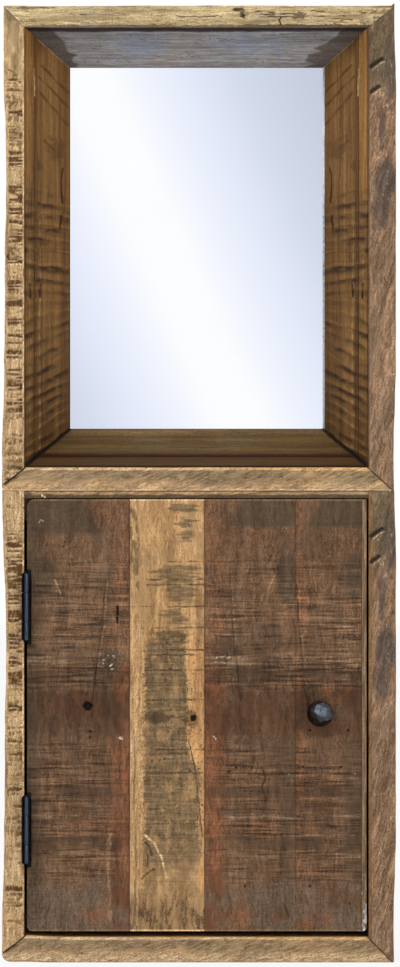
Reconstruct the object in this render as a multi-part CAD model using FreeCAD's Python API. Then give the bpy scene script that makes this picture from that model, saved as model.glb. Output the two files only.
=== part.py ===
import FreeCAD, Part
import math
import os

# A wall-hung key cabinet of reclaimed boards. The upper box holds a mirror at the back of a splayed
# liner, and the lower box holds two key rails behind a plank door on two butt hinges.
# Front view: +X is right, +Z is up, the wall is the plane Y = 0 and the front faces -Y.
# The origin lies on the wall, half way between the entries of the two keyhole plates.
# All sizes are in millimetres.

V = FreeCAD.Vector

# Carcase boards
WIDTH = 300.0  # over the two side boards
DEPTH = 90.0  # wall to the front edges of the boards
UPPER_HEIGHT = 373.0  # mirror box, outside
LOWER_HEIGHT = 362.0  # key box, outside
LEFT_BOARD = 15.0
RIGHT_BOARD = 20.0
TOP_BOARD = 16.0
MIDDLE_BOARD = 18.0  # bottom of the mirror box
BOTTOM_BOARD = 20.0
LOWER_TOP_PANEL = 5.0  # thin top of the key box, under the middle board
TOP_PANEL_SETBACK = 2.0
WORN_CORNER = 6.0  # rounding of the bottom left corner

# Mitre splines
SPLINE_THICKNESS = 3.0
SPLINE_WIDTH = 8.0  # half in each board
SPLINE_END = 15.0  # distance of a stopped spline from front and back

# Splayed liner and mirror
SIDE_REVEAL = 34.2  # how far the left and right liners lean in
END_REVEAL = 29.0  # how far the top and bottom liners lean in
LINER_SETBACK = 2.5  # liner edge behind the front of the boards
LINER_FRONT_LAND = 1.5
LINER_SEAT = 32.0  # glued width on the boards
LINER_REAR_LAND = 7.0  # width that carries the backing
GROOVE_WIDTH = 1.6
GROOVE_DEPTH = 2.0
SIDE_GROOVE_RUN = 7.6  # groove from the board, seen from the front
BOTTOM_GROOVE_RUN = 8.5
TOP_GROOVE_RUN = 3.2
GLASS = 4.0
GLASS_OVERLAP = 8.0  # hidden behind the liner on each side
GLASS_CLEARANCE = 0.4
BACKING = 3.0
BACKING_CLEARANCE = 0.4

# Rear rails, dowels and hangers
REAR_RAIL = 17.0  # rail thickness, backing to wall
MIRROR_RAIL_HEIGHT = 40.0
DOWEL_RADIUS = 3.0
DOWEL_IN_BOARD = 9.0
DOWEL_IN_RAIL = 14.0
DOWEL_INSET = 12.0  # from the rail's edges
HANGER_INSET = 60.0  # keyhole entry to the side of the cabinet
PLATE_WIDTH = 20.0
PLATE_THICKNESS = 2.0
PLATE_ABOVE_ENTRY = 28.0
PLATE_BELOW_ENTRY = 20.0
PLATE_MARGIN = 5.0  # rail wood above and below a plate
PLATE_SCREW_INSET = 6.0
KEYHOLE_RADIUS = 4.5
KEYHOLE_SLOT = 4.5  # slot width
KEYHOLE_RISE = 12.0
KEYHOLE_POCKET = 10.0  # room for the wall screw's head behind the plate
KEYHOLE_POCKET_WALL = 1.5  # pocket beyond the keyhole's outline

# Back of the key box, and what ties the two boxes together
BACK_PANEL = 6.0
RABBET = 8.0
PANEL_CLEARANCE = 0.3
CLEAT = 18.0
CLEAT_DOOR_CLEARANCE = 5.0  # cleat behind the shut door
CLEAT_PANEL_CLEARANCE = 12.0  # cleat to the back panel
CLEAT_SIDE_BITE = 9.0  # screw length in the side board
CLEAT_TOP_BITE = 11.0  # screw length in the middle board
CLEAT_SIDE_INSET = 7.0  # side screws from the cleat's ends
CLEAT_TOP_INSET = 16.0  # top screws from the cleat's ends

# Key rails and hooks
KEY_RAIL_THICKNESS = 14.0
KEY_RAIL_HEIGHT = 36.0
KEY_RAIL_END = 14.0  # rail end to the side board
UPPER_KEY_RAIL_DROP = 42.0  # top of the key box inside to the rail
LOWER_KEY_RAIL_DROP = 182.0
KEY_RAIL_SCREW_BITE = 8.4  # screw length in the rail
KEY_RAIL_SCREW_END = 60.0  # screws to the rail's ends
HOOK_COUNT = 5
HOOK_RADIUS = 1.4
HOOK_REACH = 18.0
HOOK_RISE = 11.0
HOOK_BEND = 4.0
HOOK_SCREW = 8.0  # length in the rail
HOOK_FLANGE_RADIUS = 4.0
HOOK_FLANGE = 1.2
HOOK_TIP_RADIUS = 2.0
HOOK_END = 26.0  # first and last hook to the rail's ends

# Door
HINGE_GAP = 2.3
CLOSING_GAP = 1.6
DOOR_TOP_GAP = 1.5
DOOR_BOTTOM_GAP = 3.5
DOOR_THICKNESS = 16.0
DOOR_SETBACK = 0.8  # door face behind the front of the boards
PLANK_2 = 57.4  # the first plank, at the hinges, takes up what is left
PLANK_3 = 70.4
PLANK_4 = 50.4
LIPPING = 3.9
DOOR_TOP_ROUNDING = 6.0  # worn top corner at the hinges
DOOR_BOTTOM_ROUNDING = 4.0  # worn bottom corner at the hinges
TONGUE = 5.0
TONGUE_LENGTH = 6.0
TONGUE_CLEARANCE = 0.3
BATTEN_THICKNESS = 12.0
BATTEN_HEIGHT = 45.0
BATTEN_EDGE = 38.0  # batten to the door's top or bottom
BATTEN_HINGE_END = 25.0
BATTEN_CLOSING_END = 34.0
BATTEN_SCREW_BITE = 10.0
BATTEN_SCREW_PITCH = 22.0  # the two screws of a plank, up and down

# Knob
KNOB_RADIUS = 10.2
KNOB_PROJECTION = 24.0
KNOB_NECK_RADIUS = 5.0
KNOB_BASE_RADIUS = 7.0
KNOB_BASE = 2.5
KNOB_FACET_DEPTH = 0.45
KNOB_FACET_RINGS = ((0.0, 1, 0.0), (40.0, 6, 27.0), (78.0, 9, 35.0))  # from the front, facets, turn
KNOB_INSET = 36.0  # from the closing edge
KNOB_DROP = 164.0  # from the top of the door
KNOB_SCREW_RADIUS = 2.0
KNOB_SCREW_BITE = 9.0
KNOB_SCREW_HEAD = 2.5
KNOB_SCREW_HEAD_RADIUS = 4.0

# Butt hinges
HINGE_LENGTH = 50.8
HINGE_BARREL = 3.0  # radius
HINGE_STANDOFF = 0.3  # barrel to the front of the boards
HINGE_LEAF = 1.2  # leaf thickness
HINGE_LEAF_WIDTH = 14.0  # behind the front of the boards
HINGE_MORTISE = 0.4
HINGE_KNUCKLE = 22.0  # middle knuckle
HINGE_KNUCKLE_GAP = 0.2
HINGE_PIN = 1.25  # radius
HINGE_PIN_CLEARANCE = 0.05
HINGE_PIN_HEAD = 1.6
HINGE_PIN_HEAD_RADIUS = 2.3
HINGE_PIN_TOP_RADIUS = 1.2
HINGE_TOP_INSET = 82.5  # hinge middle to the door's top
HINGE_BOTTOM_INSET = 78.0
HINGE_SCREW_PITCH = 17.0
HINGE_SCREW_COUNT = 3
HINGE_SCREW_BITE = 10.0
HINGE_SCREW_BACK = 8.5  # behind the front of the boards

# Magnetic catch
CATCH_WIDTH = 14.0
CATCH_DEPTH = 15.0
CATCH_HEIGHT = 26.0
CATCH_EAR = 9.0  # screw ear above and below the body
CATCH_EAR_THICKNESS = 2.5
CATCH_SCREW_BITE = 10.0
MAGNET_THICKNESS = 6.0
MAGNET_HEIGHT = 20.0
MAGNET_DEPTH = 8.0
MAGNET_PROUD = 0.5
STRIKE_WIDTH = 13.0
STRIKE_HEIGHT = 34.0
STRIKE_THICKNESS = 1.2
STRIKE_GAP = 0.3  # magnet to strike with the door shut
STRIKE_SCREW_BITE = 9.0

# Fasteners
SCREW_RADIUS = 1.4
SCREW_HEAD_RADIUS = 2.6
SCREW_HEAD = 1.2
SCREW_TIP = 2.8
SCREW_POINT_RADIUS = 0.35
PIN_RADIUS = 0.8
PIN_HEAD_RADIUS = 1.6
PIN_HEAD = 0.8
PIN_BITE = 10.0  # pin length past the panel it holds
SIDE_PINS = 3  # along each side of a back
END_PINS = 2  # along each end of a back

# Levels worked out from the sizes above
HANG_DROP = TOP_BOARD + PLATE_MARGIN + PLATE_ABOVE_ENTRY
X_LEFT = -WIDTH / 2
X_RIGHT = WIDTH / 2
X_IN_LEFT = X_LEFT + LEFT_BOARD
X_IN_RIGHT = X_RIGHT - RIGHT_BOARD
Z_TOP = HANG_DROP
Z_IN_TOP = Z_TOP - TOP_BOARD
Z_MIDDLE = Z_TOP - UPPER_HEIGHT
Z_IN_MIDDLE = Z_MIDDLE + MIDDLE_BOARD
Z_BOTTOM = Z_MIDDLE - LOWER_HEIGHT
Z_IN_BOTTOM = Z_BOTTOM + BOTTOM_BOARD
Z_KEY_TOP = Z_MIDDLE - LOWER_TOP_PANEL
Y_FRONT = -DEPTH
Y_LINER = Y_FRONT + LINER_SETBACK
Y_BACKING_REAR = -REAR_RAIL
Y_BACKING = Y_BACKING_REAR - BACKING
Y_GLASS_REAR = Y_BACKING - GLASS_CLEARANCE / 2
Y_GLASS = Y_GLASS_REAR - GLASS

X_DOOR_LEFT = X_IN_LEFT + HINGE_GAP
X_DOOR_RIGHT = X_IN_RIGHT - CLOSING_GAP
Z_DOOR_TOP = Z_KEY_TOP - DOOR_TOP_GAP
Z_DOOR_BOTTOM = Z_IN_BOTTOM + DOOR_BOTTOM_GAP
Y_DOOR = Y_FRONT + DOOR_SETBACK
Y_DOOR_BACK = Y_DOOR + DOOR_THICKNESS
X_HINGE = X_IN_LEFT + HINGE_GAP / 2
Y_HINGE = Y_FRONT - HINGE_STANDOFF - HINGE_BARREL
Z_HINGES = {
    "upper": Z_DOOR_TOP - HINGE_TOP_INSET,
    "lower": Z_DOOR_BOTTOM + HINGE_BOTTOM_INSET,
}
X_KNOB = X_DOOR_RIGHT - KNOB_INSET
Z_KNOB = Z_DOOR_TOP - KNOB_DROP
Z_CATCH = (Z_DOOR_TOP + Z_DOOR_BOTTOM) / 2
Y_STRIKE = Y_DOOR_BACK + STRIKE_THICKNESS
Y_KEY_RAIL = -BACK_PANEL - KEY_RAIL_THICKNESS

RIGHT = V(1, 0, 0)
LEFT = V(-1, 0, 0)
TO_WALL = V(0, 1, 0)
TO_FRONT = V(0, -1, 0)
UP = V(0, 0, 1)


# Basic shapes
def block(x0, x1, y0, y1, z0, z1):
    """A block between two corners."""
    return Part.makeBox(x1 - x0, y1 - y0, z1 - z0, V(x0, y0, z0))


def polygon_face(points):
    """A flat face with straight edges."""
    return Part.Face(Part.makePolygon(points + points[:1]))


def front_prism(outline, y0, y1):
    """A prism whose outline is drawn in the front view, as (x, z) points."""
    face = polygon_face([V(x, y0, z) for x, z in outline])
    return face.extrude(V(0, y1 - y0, 0))


def rod(start, direction, radius, length):
    """A round rod."""
    return Part.makeCylinder(radius, length, start, direction)


def screw(head, direction, length):
    """A countersunk wood screw: the middle of its flat head, the way it points, and its length."""
    cone = Part.makeCone(SCREW_HEAD_RADIUS, SCREW_RADIUS, SCREW_HEAD, head, direction)
    shank_start = head + direction * SCREW_HEAD
    shank_length = length - SCREW_HEAD - SCREW_TIP
    shank = rod(shank_start, direction, SCREW_RADIUS, shank_length)
    tip_start = shank_start + direction * shank_length
    tip = Part.makeCone(SCREW_RADIUS, SCREW_POINT_RADIUS, SCREW_TIP, tip_start, direction)
    return cone.fuse([shank, tip]).removeSplitter()


def panel_pin(head, direction, length):
    """A flat-headed nail that lies flush with the face it is driven into."""
    shank = rod(head, direction, PIN_RADIUS, length)
    return shank.fuse(rod(head, direction, PIN_HEAD_RADIUS, PIN_HEAD)).removeSplitter()


def corner_waste(x, z, radius, upward, y0, y1):
    """What a rounded left-hand corner loses: upward is 1 at a bottom corner and -1 at a top one."""
    z_inner = z + upward * radius
    corner = block(x, x + radius, y0, y1, min(z, z_inner), max(z, z_inner))
    return corner.cut(rod(V(x + radius, y0, z_inner), TO_WALL, radius, y1 - y0))


def spread(first, last, count):
    """Evenly spaced values from first to last."""
    step = (last - first) / (count - 1)
    return [first + step * i for i in range(count)]


def between(low, high, count):
    """Evenly spaced values between two ends, leaving the ends out."""
    step = (high - low) / (count + 1)
    return [low + step * (i + 1) for i in range(count)]


# Carcase
def upper_boards():
    """The four mitred boards of the mirror box."""
    outer = {
        "tl": (X_LEFT, Z_TOP),
        "tr": (X_RIGHT, Z_TOP),
        "bl": (X_LEFT, Z_MIDDLE),
        "br": (X_RIGHT, Z_MIDDLE),
    }
    inner = {
        "tl": (X_IN_LEFT, Z_IN_TOP),
        "tr": (X_IN_RIGHT, Z_IN_TOP),
        "bl": (X_IN_LEFT, Z_IN_MIDDLE),
        "br": (X_IN_RIGHT, Z_IN_MIDDLE),
    }
    sides = {
        "upper_left_board": ("bl", "tl"),
        "upper_top_board": ("tl", "tr"),
        "upper_right_board": ("tr", "br"),
        "upper_bottom_board": ("br", "bl"),
    }
    return {
        name: front_prism([outer[a], outer[b], inner[b], inner[a]], Y_FRONT, 0)
        for name, (a, b) in sides.items()
    }


def lower_boards():
    """The two sides and the bottom of the key box, rabbeted at the back for the panel."""
    left = [
        (X_LEFT, Z_BOTTOM),
        (X_LEFT, Z_MIDDLE),
        (X_IN_LEFT, Z_MIDDLE),
        (X_IN_LEFT, Z_IN_BOTTOM),
    ]
    right = [
        (X_RIGHT, Z_BOTTOM),
        (X_RIGHT, Z_MIDDLE),
        (X_IN_RIGHT, Z_MIDDLE),
        (X_IN_RIGHT, Z_IN_BOTTOM),
    ]
    bottom = [
        (X_LEFT, Z_BOTTOM),
        (X_RIGHT, Z_BOTTOM),
        (X_IN_RIGHT, Z_IN_BOTTOM),
        (X_IN_LEFT, Z_IN_BOTTOM),
    ]
    rabbet = block(
        X_IN_LEFT - RABBET,
        X_IN_RIGHT + RABBET,
        -BACK_PANEL,
        0,
        Z_IN_BOTTOM - RABBET,
        Z_MIDDLE,
    )
    worn_off = corner_waste(X_LEFT, Z_BOTTOM, WORN_CORNER, 1, Y_FRONT, 0)
    outlines = {
        "lower_left_board": left,
        "lower_right_board": right,
        "lower_bottom_board": bottom,
    }
    return {
        name: front_prism(outline, Y_FRONT, 0).cut([rabbet, worn_off])
        for name, outline in outlines.items()
    }


def mitre_splines():
    """One loose spline across each mitre, square to the joint."""
    corners = [
        ((X_LEFT, Z_TOP), (X_IN_LEFT, Z_IN_TOP)),
        ((X_RIGHT, Z_TOP), (X_IN_RIGHT, Z_IN_TOP)),
        ((X_LEFT, Z_MIDDLE), (X_IN_LEFT, Z_IN_MIDDLE)),
        ((X_RIGHT, Z_MIDDLE), (X_IN_RIGHT, Z_IN_MIDDLE)),
        ((X_LEFT, Z_BOTTOM), (X_IN_LEFT, Z_IN_BOTTOM)),
        ((X_RIGHT, Z_BOTTOM), (X_IN_RIGHT, Z_IN_BOTTOM)),
    ]
    y0 = Y_FRONT + SPLINE_END
    y1 = -BACK_PANEL - SPLINE_END
    splines = []
    for (outer_x, outer_z), (inner_x, inner_z) in corners:
        along = V(inner_x - outer_x, 0, inner_z - outer_z).normalize()
        across = V(-along.z, 0, along.x)
        middle = V((outer_x + inner_x) / 2, y0, (outer_z + inner_z) / 2)
        u = along * (SPLINE_THICKNESS / 2)
        w = across * (SPLINE_WIDTH / 2)
        face = polygon_face([middle - u - w, middle + u - w, middle + u + w, middle - u + w])
        splines.append(face.extrude(V(0, y1 - y0, 0)))
    return splines


# Mirror and liner
def liner_profile(reveal, groove_run):
    """Section of a splayed liner as (run in from the board, y) points, with an old groove near its front.
    Widths scale with the reveal, so that liners of unequal reveal still meet in closed mitres."""
    share = reveal / SIDE_REVEAL
    land = LINER_FRONT_LAND * share
    rebate = (GLASS_OVERLAP + GLASS_CLEARANCE) * share
    rear = reveal - rebate - LINER_REAR_LAND * share
    length = math.hypot(reveal - land, Y_GLASS - Y_LINER)
    slope = ((reveal - land) / length, (Y_GLASS - Y_LINER) / length)
    into_wood = (-slope[1] * GROOVE_DEPTH, slope[0] * GROOVE_DEPTH)
    middle = (groove_run - land) / slope[0]
    lips = []
    for distance in (middle - GROOVE_WIDTH / 2, middle + GROOVE_WIDTH / 2):
        lips.append((land + slope[0] * distance, Y_LINER + slope[1] * distance))
    floor = [(run + into_wood[0], y + into_wood[1]) for run, y in lips]
    return [
        (0, Y_LINER),
        (land, Y_LINER),
        lips[0],
        floor[0],
        floor[1],
        lips[1],
        (reveal, Y_GLASS),
        (reveal - rebate, Y_GLASS),
        (reveal - rebate, Y_BACKING),
        (rear, Y_BACKING),
        (0, Y_LINER + LINER_SEAT),
    ]


def liners():
    """The four splayed liner boards, mitred where they meet."""
    side = liner_profile(SIDE_REVEAL, SIDE_GROOVE_RUN)
    top = liner_profile(END_REVEAL, TOP_GROOVE_RUN)
    bottom = liner_profile(END_REVEAL, BOTTOM_GROOVE_RUN)
    tall = UP * (Z_IN_TOP - Z_IN_MIDDLE)
    wide = RIGHT * (X_IN_RIGHT - X_IN_LEFT)
    lengths = {
        "liner_left": polygon_face([V(X_IN_LEFT + r, y, Z_IN_MIDDLE) for r, y in side]).extrude(tall),
        "liner_right": polygon_face([V(X_IN_RIGHT - r, y, Z_IN_MIDDLE) for r, y in side]).extrude(tall),
        "liner_top": polygon_face([V(X_IN_LEFT, y, Z_IN_TOP - r) for r, y in top]).extrude(wide),
        "liner_bottom": polygon_face([V(X_IN_LEFT, y, Z_IN_MIDDLE + r) for r, y in bottom]).extrude(wide),
    }
    board = {
        "tl": (X_IN_LEFT, Z_IN_TOP),
        "tr": (X_IN_RIGHT, Z_IN_TOP),
        "bl": (X_IN_LEFT, Z_IN_MIDDLE),
        "br": (X_IN_RIGHT, Z_IN_MIDDLE),
    }
    sight = {
        "tl": (X_IN_LEFT + SIDE_REVEAL, Z_IN_TOP - END_REVEAL),
        "tr": (X_IN_RIGHT - SIDE_REVEAL, Z_IN_TOP - END_REVEAL),
        "bl": (X_IN_LEFT + SIDE_REVEAL, Z_IN_MIDDLE + END_REVEAL),
        "br": (X_IN_RIGHT - SIDE_REVEAL, Z_IN_MIDDLE + END_REVEAL),
    }
    ends = {
        "liner_left": ("bl", "tl"),
        "liner_right": ("tr", "br"),
        "liner_top": ("tl", "tr"),
        "liner_bottom": ("br", "bl"),
    }
    return {
        name: lengths[name].common(front_prism([board[a], board[b], sight[b], sight[a]], Y_FRONT, 0))
        for name, (a, b) in ends.items()
    }


def mirror_glass():
    """The silvered glass, lying in the rebates of the liners."""
    side = SIDE_REVEAL - GLASS_OVERLAP
    end = END_REVEAL - GLASS_OVERLAP * END_REVEAL / SIDE_REVEAL
    return block(
        X_IN_LEFT + side,
        X_IN_RIGHT - side,
        Y_GLASS,
        Y_GLASS_REAR,
        Z_IN_MIDDLE + end,
        Z_IN_TOP - end,
    )


def mirror_backing():
    """The thin board that holds the glass in its rebates."""
    return block(
        X_IN_LEFT + BACKING_CLEARANCE,
        X_IN_RIGHT - BACKING_CLEARANCE,
        Y_BACKING,
        Y_BACKING_REAR,
        Z_IN_MIDDLE + BACKING_CLEARANCE,
        Z_IN_TOP - BACKING_CLEARANCE,
    )


def backing_pins():
    """Nails through the backing into the rear lands of the liners."""
    land = SIDE_REVEAL - GLASS_OVERLAP - GLASS_CLEARANCE - LINER_REAR_LAND / 2
    end_land = land * END_REVEAL / SIDE_REVEAL
    x0 = X_IN_LEFT + land
    x1 = X_IN_RIGHT - land
    z0 = Z_IN_MIDDLE + end_land
    z1 = Z_IN_TOP - end_land
    spots = [(x, z) for x in (x0, x1) for z in between(z0, z1, SIDE_PINS)]
    spots += [(x, z) for x in between(x0, x1, END_PINS) for z in (z0, z1)]
    return [panel_pin(V(x, Y_BACKING_REAR, z), TO_FRONT, BACKING + PIN_BITE) for x, z in spots]


# Rear rails and hangers
Z_HANGING_RAIL = -PLATE_BELOW_ENTRY - PLATE_MARGIN


def rear_rail(z0, z1):
    """A rail across the back of the mirror box, between the side boards."""
    return block(X_IN_LEFT, X_IN_RIGHT, Y_BACKING_REAR, 0, z0, z1)


def rail_dowels():
    """Two dowels at each end of both rear rails."""
    spans = [
        (Z_HANGING_RAIL, Z_IN_TOP),
        (Z_IN_MIDDLE, Z_IN_MIDDLE + MIRROR_RAIL_HEIGHT),
    ]
    length = DOWEL_IN_BOARD + DOWEL_IN_RAIL
    y = Y_BACKING_REAR / 2
    dowels = []
    for z0, z1 in spans:
        for z in (z0 + DOWEL_INSET, z1 - DOWEL_INSET):
            dowels.append(rod(V(X_IN_LEFT - DOWEL_IN_BOARD, y, z), RIGHT, DOWEL_RADIUS, length))
            dowels.append(rod(V(X_IN_RIGHT + DOWEL_IN_BOARD, y, z), LEFT, DOWEL_RADIUS, length))
    return dowels


def keyhole(x, grow, y0, y1):
    """A keyhole's outline, grown all round, as a solid from y0 to y1."""
    depth = y1 - y0
    slot = KEYHOLE_SLOT / 2 + grow
    entry = rod(V(x, y0, 0), TO_WALL, KEYHOLE_RADIUS + grow, depth)
    top = rod(V(x, y0, KEYHOLE_RISE), TO_WALL, slot, depth)
    neck = block(x - slot, x + slot, y0, y1, 0, KEYHOLE_RISE)
    return entry.fuse([top, neck]).removeSplitter()


def hanger(x):
    """A keyhole plate let in flush with the back, its two screws, and the pockets behind it."""
    plate = block(
        x - PLATE_WIDTH / 2,
        x + PLATE_WIDTH / 2,
        -PLATE_THICKNESS,
        0,
        -PLATE_BELOW_ENTRY,
        PLATE_ABOVE_ENTRY,
    )
    screw_levels = (PLATE_ABOVE_ENTRY - PLATE_SCREW_INSET, PLATE_SCREW_INSET - PLATE_BELOW_ENTRY)
    screw_length = REAR_RAIL - PLATE_THICKNESS
    screws = [screw(V(x, 0, z), TO_FRONT, screw_length) for z in screw_levels]
    pocket_floor = -PLATE_THICKNESS - KEYHOLE_POCKET
    pocket = keyhole(x, KEYHOLE_POCKET_WALL, pocket_floor, -PLATE_THICKNESS)
    pockets = plate.fuse(pocket)
    pierced = plate.cut([keyhole(x, 0, -PLATE_THICKNESS, 0)] + screws)
    return pierced, screws, pockets


# Key box fittings
def lower_top_panel():
    """The thin top of the key box, between the side boards."""
    return block(
        X_IN_LEFT,
        X_IN_RIGHT,
        Y_FRONT + TOP_PANEL_SETBACK,
        -BACK_PANEL,
        Z_KEY_TOP,
        Z_MIDDLE,
    )


def lower_back_panel():
    """The back of the key box, in the rabbet and flush with the wall side of the boards."""
    reach = RABBET - PANEL_CLEARANCE
    return block(
        X_IN_LEFT - reach,
        X_IN_RIGHT + reach,
        -BACK_PANEL,
        0,
        Z_IN_BOTTOM - reach,
        Z_MIDDLE,
    )


def back_panel_pins():
    """Nails through the back panel into the rabbets."""
    x0 = X_IN_LEFT - RABBET / 2
    x1 = X_IN_RIGHT + RABBET / 2
    z0 = Z_IN_BOTTOM - RABBET / 2
    spots = [(x, z) for x in (x0, x1) for z in between(z0, Z_MIDDLE, SIDE_PINS)]
    spots += [(x, z0) for x in between(x0, x1, END_PINS)]
    return [panel_pin(V(x, 0, z), TO_FRONT, BACK_PANEL + PIN_BITE) for x, z in spots]


def joining_cleat(x_board, inward):
    """A cleat in a top corner of the key box, with screws to the side board and to the mirror box."""
    y0 = Y_DOOR_BACK + CLEAT_DOOR_CLEARANCE
    y1 = -BACK_PANEL - CLEAT_PANEL_CLEARANCE
    x_inner = x_board + inward.x * CLEAT
    z_under = Z_KEY_TOP - CLEAT
    cleat = block(min(x_board, x_inner), max(x_board, x_inner), y0, y1, z_under, Z_KEY_TOP)
    z_middle = Z_KEY_TOP - CLEAT / 2
    side_length = CLEAT + CLEAT_SIDE_BITE
    top_length = CLEAT + LOWER_TOP_PANEL + CLEAT_TOP_BITE
    x_middle = (x_board + x_inner) / 2
    side_screws = [
        screw(V(x_inner, y, z_middle), inward * -1, side_length)
        for y in (y0 + CLEAT_SIDE_INSET, y1 - CLEAT_SIDE_INSET)
    ]
    top_screws = [
        screw(V(x_middle, y, z_under), UP, top_length)
        for y in (y0 + CLEAT_TOP_INSET, y1 - CLEAT_TOP_INSET)
    ]
    return cleat, side_screws, top_screws


def key_hook(x, z):
    """A square-bent screw hook with a flange against the rail and a ball on its tip."""
    y_corner = Y_KEY_RAIL - HOOK_REACH
    start = V(x, Y_KEY_RAIL + HOOK_SCREW, z)
    bend_start = V(x, y_corner + HOOK_BEND, z)
    bend_end = V(x, y_corner, z + HOOK_BEND)
    chord = HOOK_BEND * (1 - math.sqrt(0.5))
    bend_middle = V(x, y_corner + chord, z + chord)
    tip = V(x, y_corner, z + HOOK_RISE)
    path = Part.Wire(
        [
            Part.LineSegment(start, bend_start).toShape(),
            Part.Arc(bend_start, bend_middle, bend_end).toShape(),
            Part.LineSegment(bend_end, tip).toShape(),
        ]
    )
    section = Part.Wire(Part.makeCircle(HOOK_RADIUS, start, TO_FRONT))
    wire = path.makePipeShell([section], True, False)
    flange_start = V(x, Y_KEY_RAIL, z)
    flange = rod(flange_start, TO_FRONT, HOOK_FLANGE_RADIUS, HOOK_FLANGE)
    ball = Part.makeSphere(HOOK_TIP_RADIUS, tip)
    return wire.fuse([flange, ball]).removeSplitter()


def key_rail(drop):
    """A key rail on the back panel, its hooks, and the screws that hold it from behind."""
    x0 = X_IN_LEFT + KEY_RAIL_END
    x1 = X_IN_RIGHT - KEY_RAIL_END
    z1 = Z_KEY_TOP - drop
    z0 = z1 - KEY_RAIL_HEIGHT
    z_middle = (z0 + z1) / 2
    rail = block(x0, x1, Y_KEY_RAIL, -BACK_PANEL, z0, z1)
    hooks = [key_hook(x, z_middle) for x in spread(x0 + HOOK_END, x1 - HOOK_END, HOOK_COUNT)]
    length = BACK_PANEL + KEY_RAIL_SCREW_BITE
    spots = (x0 + KEY_RAIL_SCREW_END, x1 - KEY_RAIL_SCREW_END)
    screws = [screw(V(x, 0, z_middle), TO_FRONT, length) for x in spots]
    return rail, hooks, screws


def magnetic_catch():
    """The catch on the right board: body with screw ears, magnet and screws."""
    y0 = Y_STRIKE + STRIKE_GAP
    y_body = y0 + MAGNET_PROUD
    y1 = y0 + CATCH_DEPTH
    x0 = X_IN_RIGHT - CATCH_WIDTH
    half = CATCH_HEIGHT / 2
    body = block(x0, X_IN_RIGHT, y_body, y1, Z_CATCH - half, Z_CATCH + half)
    ears = block(
        X_IN_RIGHT - CATCH_EAR_THICKNESS,
        X_IN_RIGHT,
        y_body,
        y1,
        Z_CATCH - half - CATCH_EAR,
        Z_CATCH + half + CATCH_EAR,
    )
    x_middle = (x0 + X_IN_RIGHT) / 2
    magnet = block(
        x_middle - MAGNET_THICKNESS / 2,
        x_middle + MAGNET_THICKNESS / 2,
        y0,
        y0 + MAGNET_DEPTH,
        Z_CATCH - MAGNET_HEIGHT / 2,
        Z_CATCH + MAGNET_HEIGHT / 2,
    )
    screws = []
    for sign in (-1, 1):
        head = V(
            X_IN_RIGHT - CATCH_EAR_THICKNESS,
            (y_body + y1) / 2,
            Z_CATCH + sign * (half + CATCH_EAR / 2),
        )
        screws.append(screw(head, RIGHT, CATCH_EAR_THICKNESS + CATCH_SCREW_BITE))
    housing = body.fuse(ears).removeSplitter().cut([magnet] + screws)
    return housing, magnet, screws


# Hinges
def hinge(z):
    """A three-knuckle butt hinge: frame leaf, door leaf, pin and the screws of each leaf."""
    half = HINGE_LENGTH / 2
    axis_foot = V(X_HINGE, Y_HINGE, z - half)
    bore = rod(axis_foot, UP, HINGE_PIN + HINGE_PIN_CLEARANCE, HINGE_LENGTH)
    barrel = rod(axis_foot, UP, HINGE_BARREL, HINGE_LENGTH)
    window = HINGE_BARREL + HINGE_LEAF
    knuckle_half = HINGE_KNUCKLE / 2
    middle = block(
        X_HINGE - window,
        X_HINGE + window,
        Y_HINGE - window,
        Y_FRONT,
        z - knuckle_half,
        z + knuckle_half,
    )
    grown_half = knuckle_half + HINGE_KNUCKLE_GAP
    middle_grown = block(
        X_HINGE - window,
        X_HINGE + window,
        Y_HINGE - window,
        Y_FRONT,
        z - grown_half,
        z + grown_half,
    )
    front_zone = block(
        X_HINGE - window,
        X_HINGE + window,
        Y_HINGE - window,
        Y_FRONT,
        z - half,
        z + half,
    )
    y_back = Y_FRONT + HINGE_LEAF_WIDTH
    x_frame = X_IN_LEFT - HINGE_MORTISE
    x_door = X_DOOR_LEFT + HINGE_MORTISE
    frame_plate = block(x_frame, x_frame + HINGE_LEAF, Y_HINGE, y_back, z - half, z + half)
    door_plate = block(x_door - HINGE_LEAF, x_door, Y_HINGE, y_back, z - half, z + half)
    frame_leaf = frame_plate.fuse(barrel).cut([middle_grown, bore])
    door_leaf = door_plate.fuse(barrel).cut([front_zone.cut(middle), bore])
    y_screw = Y_FRONT + HINGE_SCREW_BACK
    reach = HINGE_SCREW_PITCH * (HINGE_SCREW_COUNT - 1) / 2
    length = HINGE_LEAF + HINGE_SCREW_BITE
    frame_screws = []
    door_screws = []
    for level in spread(z - reach, z + reach, HINGE_SCREW_COUNT):
        frame_screws.append(screw(V(x_frame + HINGE_LEAF, y_screw, level), LEFT, length))
        door_screws.append(screw(V(x_door - HINGE_LEAF, y_screw, level), RIGHT, length))
    return {
        "frame_leaf": frame_leaf.cut(frame_screws).removeSplitter(),
        "door_leaf": door_leaf.cut(door_screws).removeSplitter(),
        "pin": hinge_pin(z),
        "frame_screws": frame_screws,
        "door_screws": door_screws,
    }


def hinge_pin(z):
    """The pin of a hinge, with a low domed head at each end."""
    half = HINGE_LENGTH / 2
    pin = rod(V(X_HINGE, Y_HINGE, z - half), UP, HINGE_PIN, HINGE_LENGTH)
    heads = []
    for sign in (-1, 1):
        start = V(X_HINGE, Y_HINGE, z + sign * half)
        head = Part.makeCone(
            HINGE_PIN_HEAD_RADIUS,
            HINGE_PIN_TOP_RADIUS,
            HINGE_PIN_HEAD,
            start,
            UP * sign,
        )
        heads.append(head)
    return pin.fuse(heads).removeSplitter()


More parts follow.
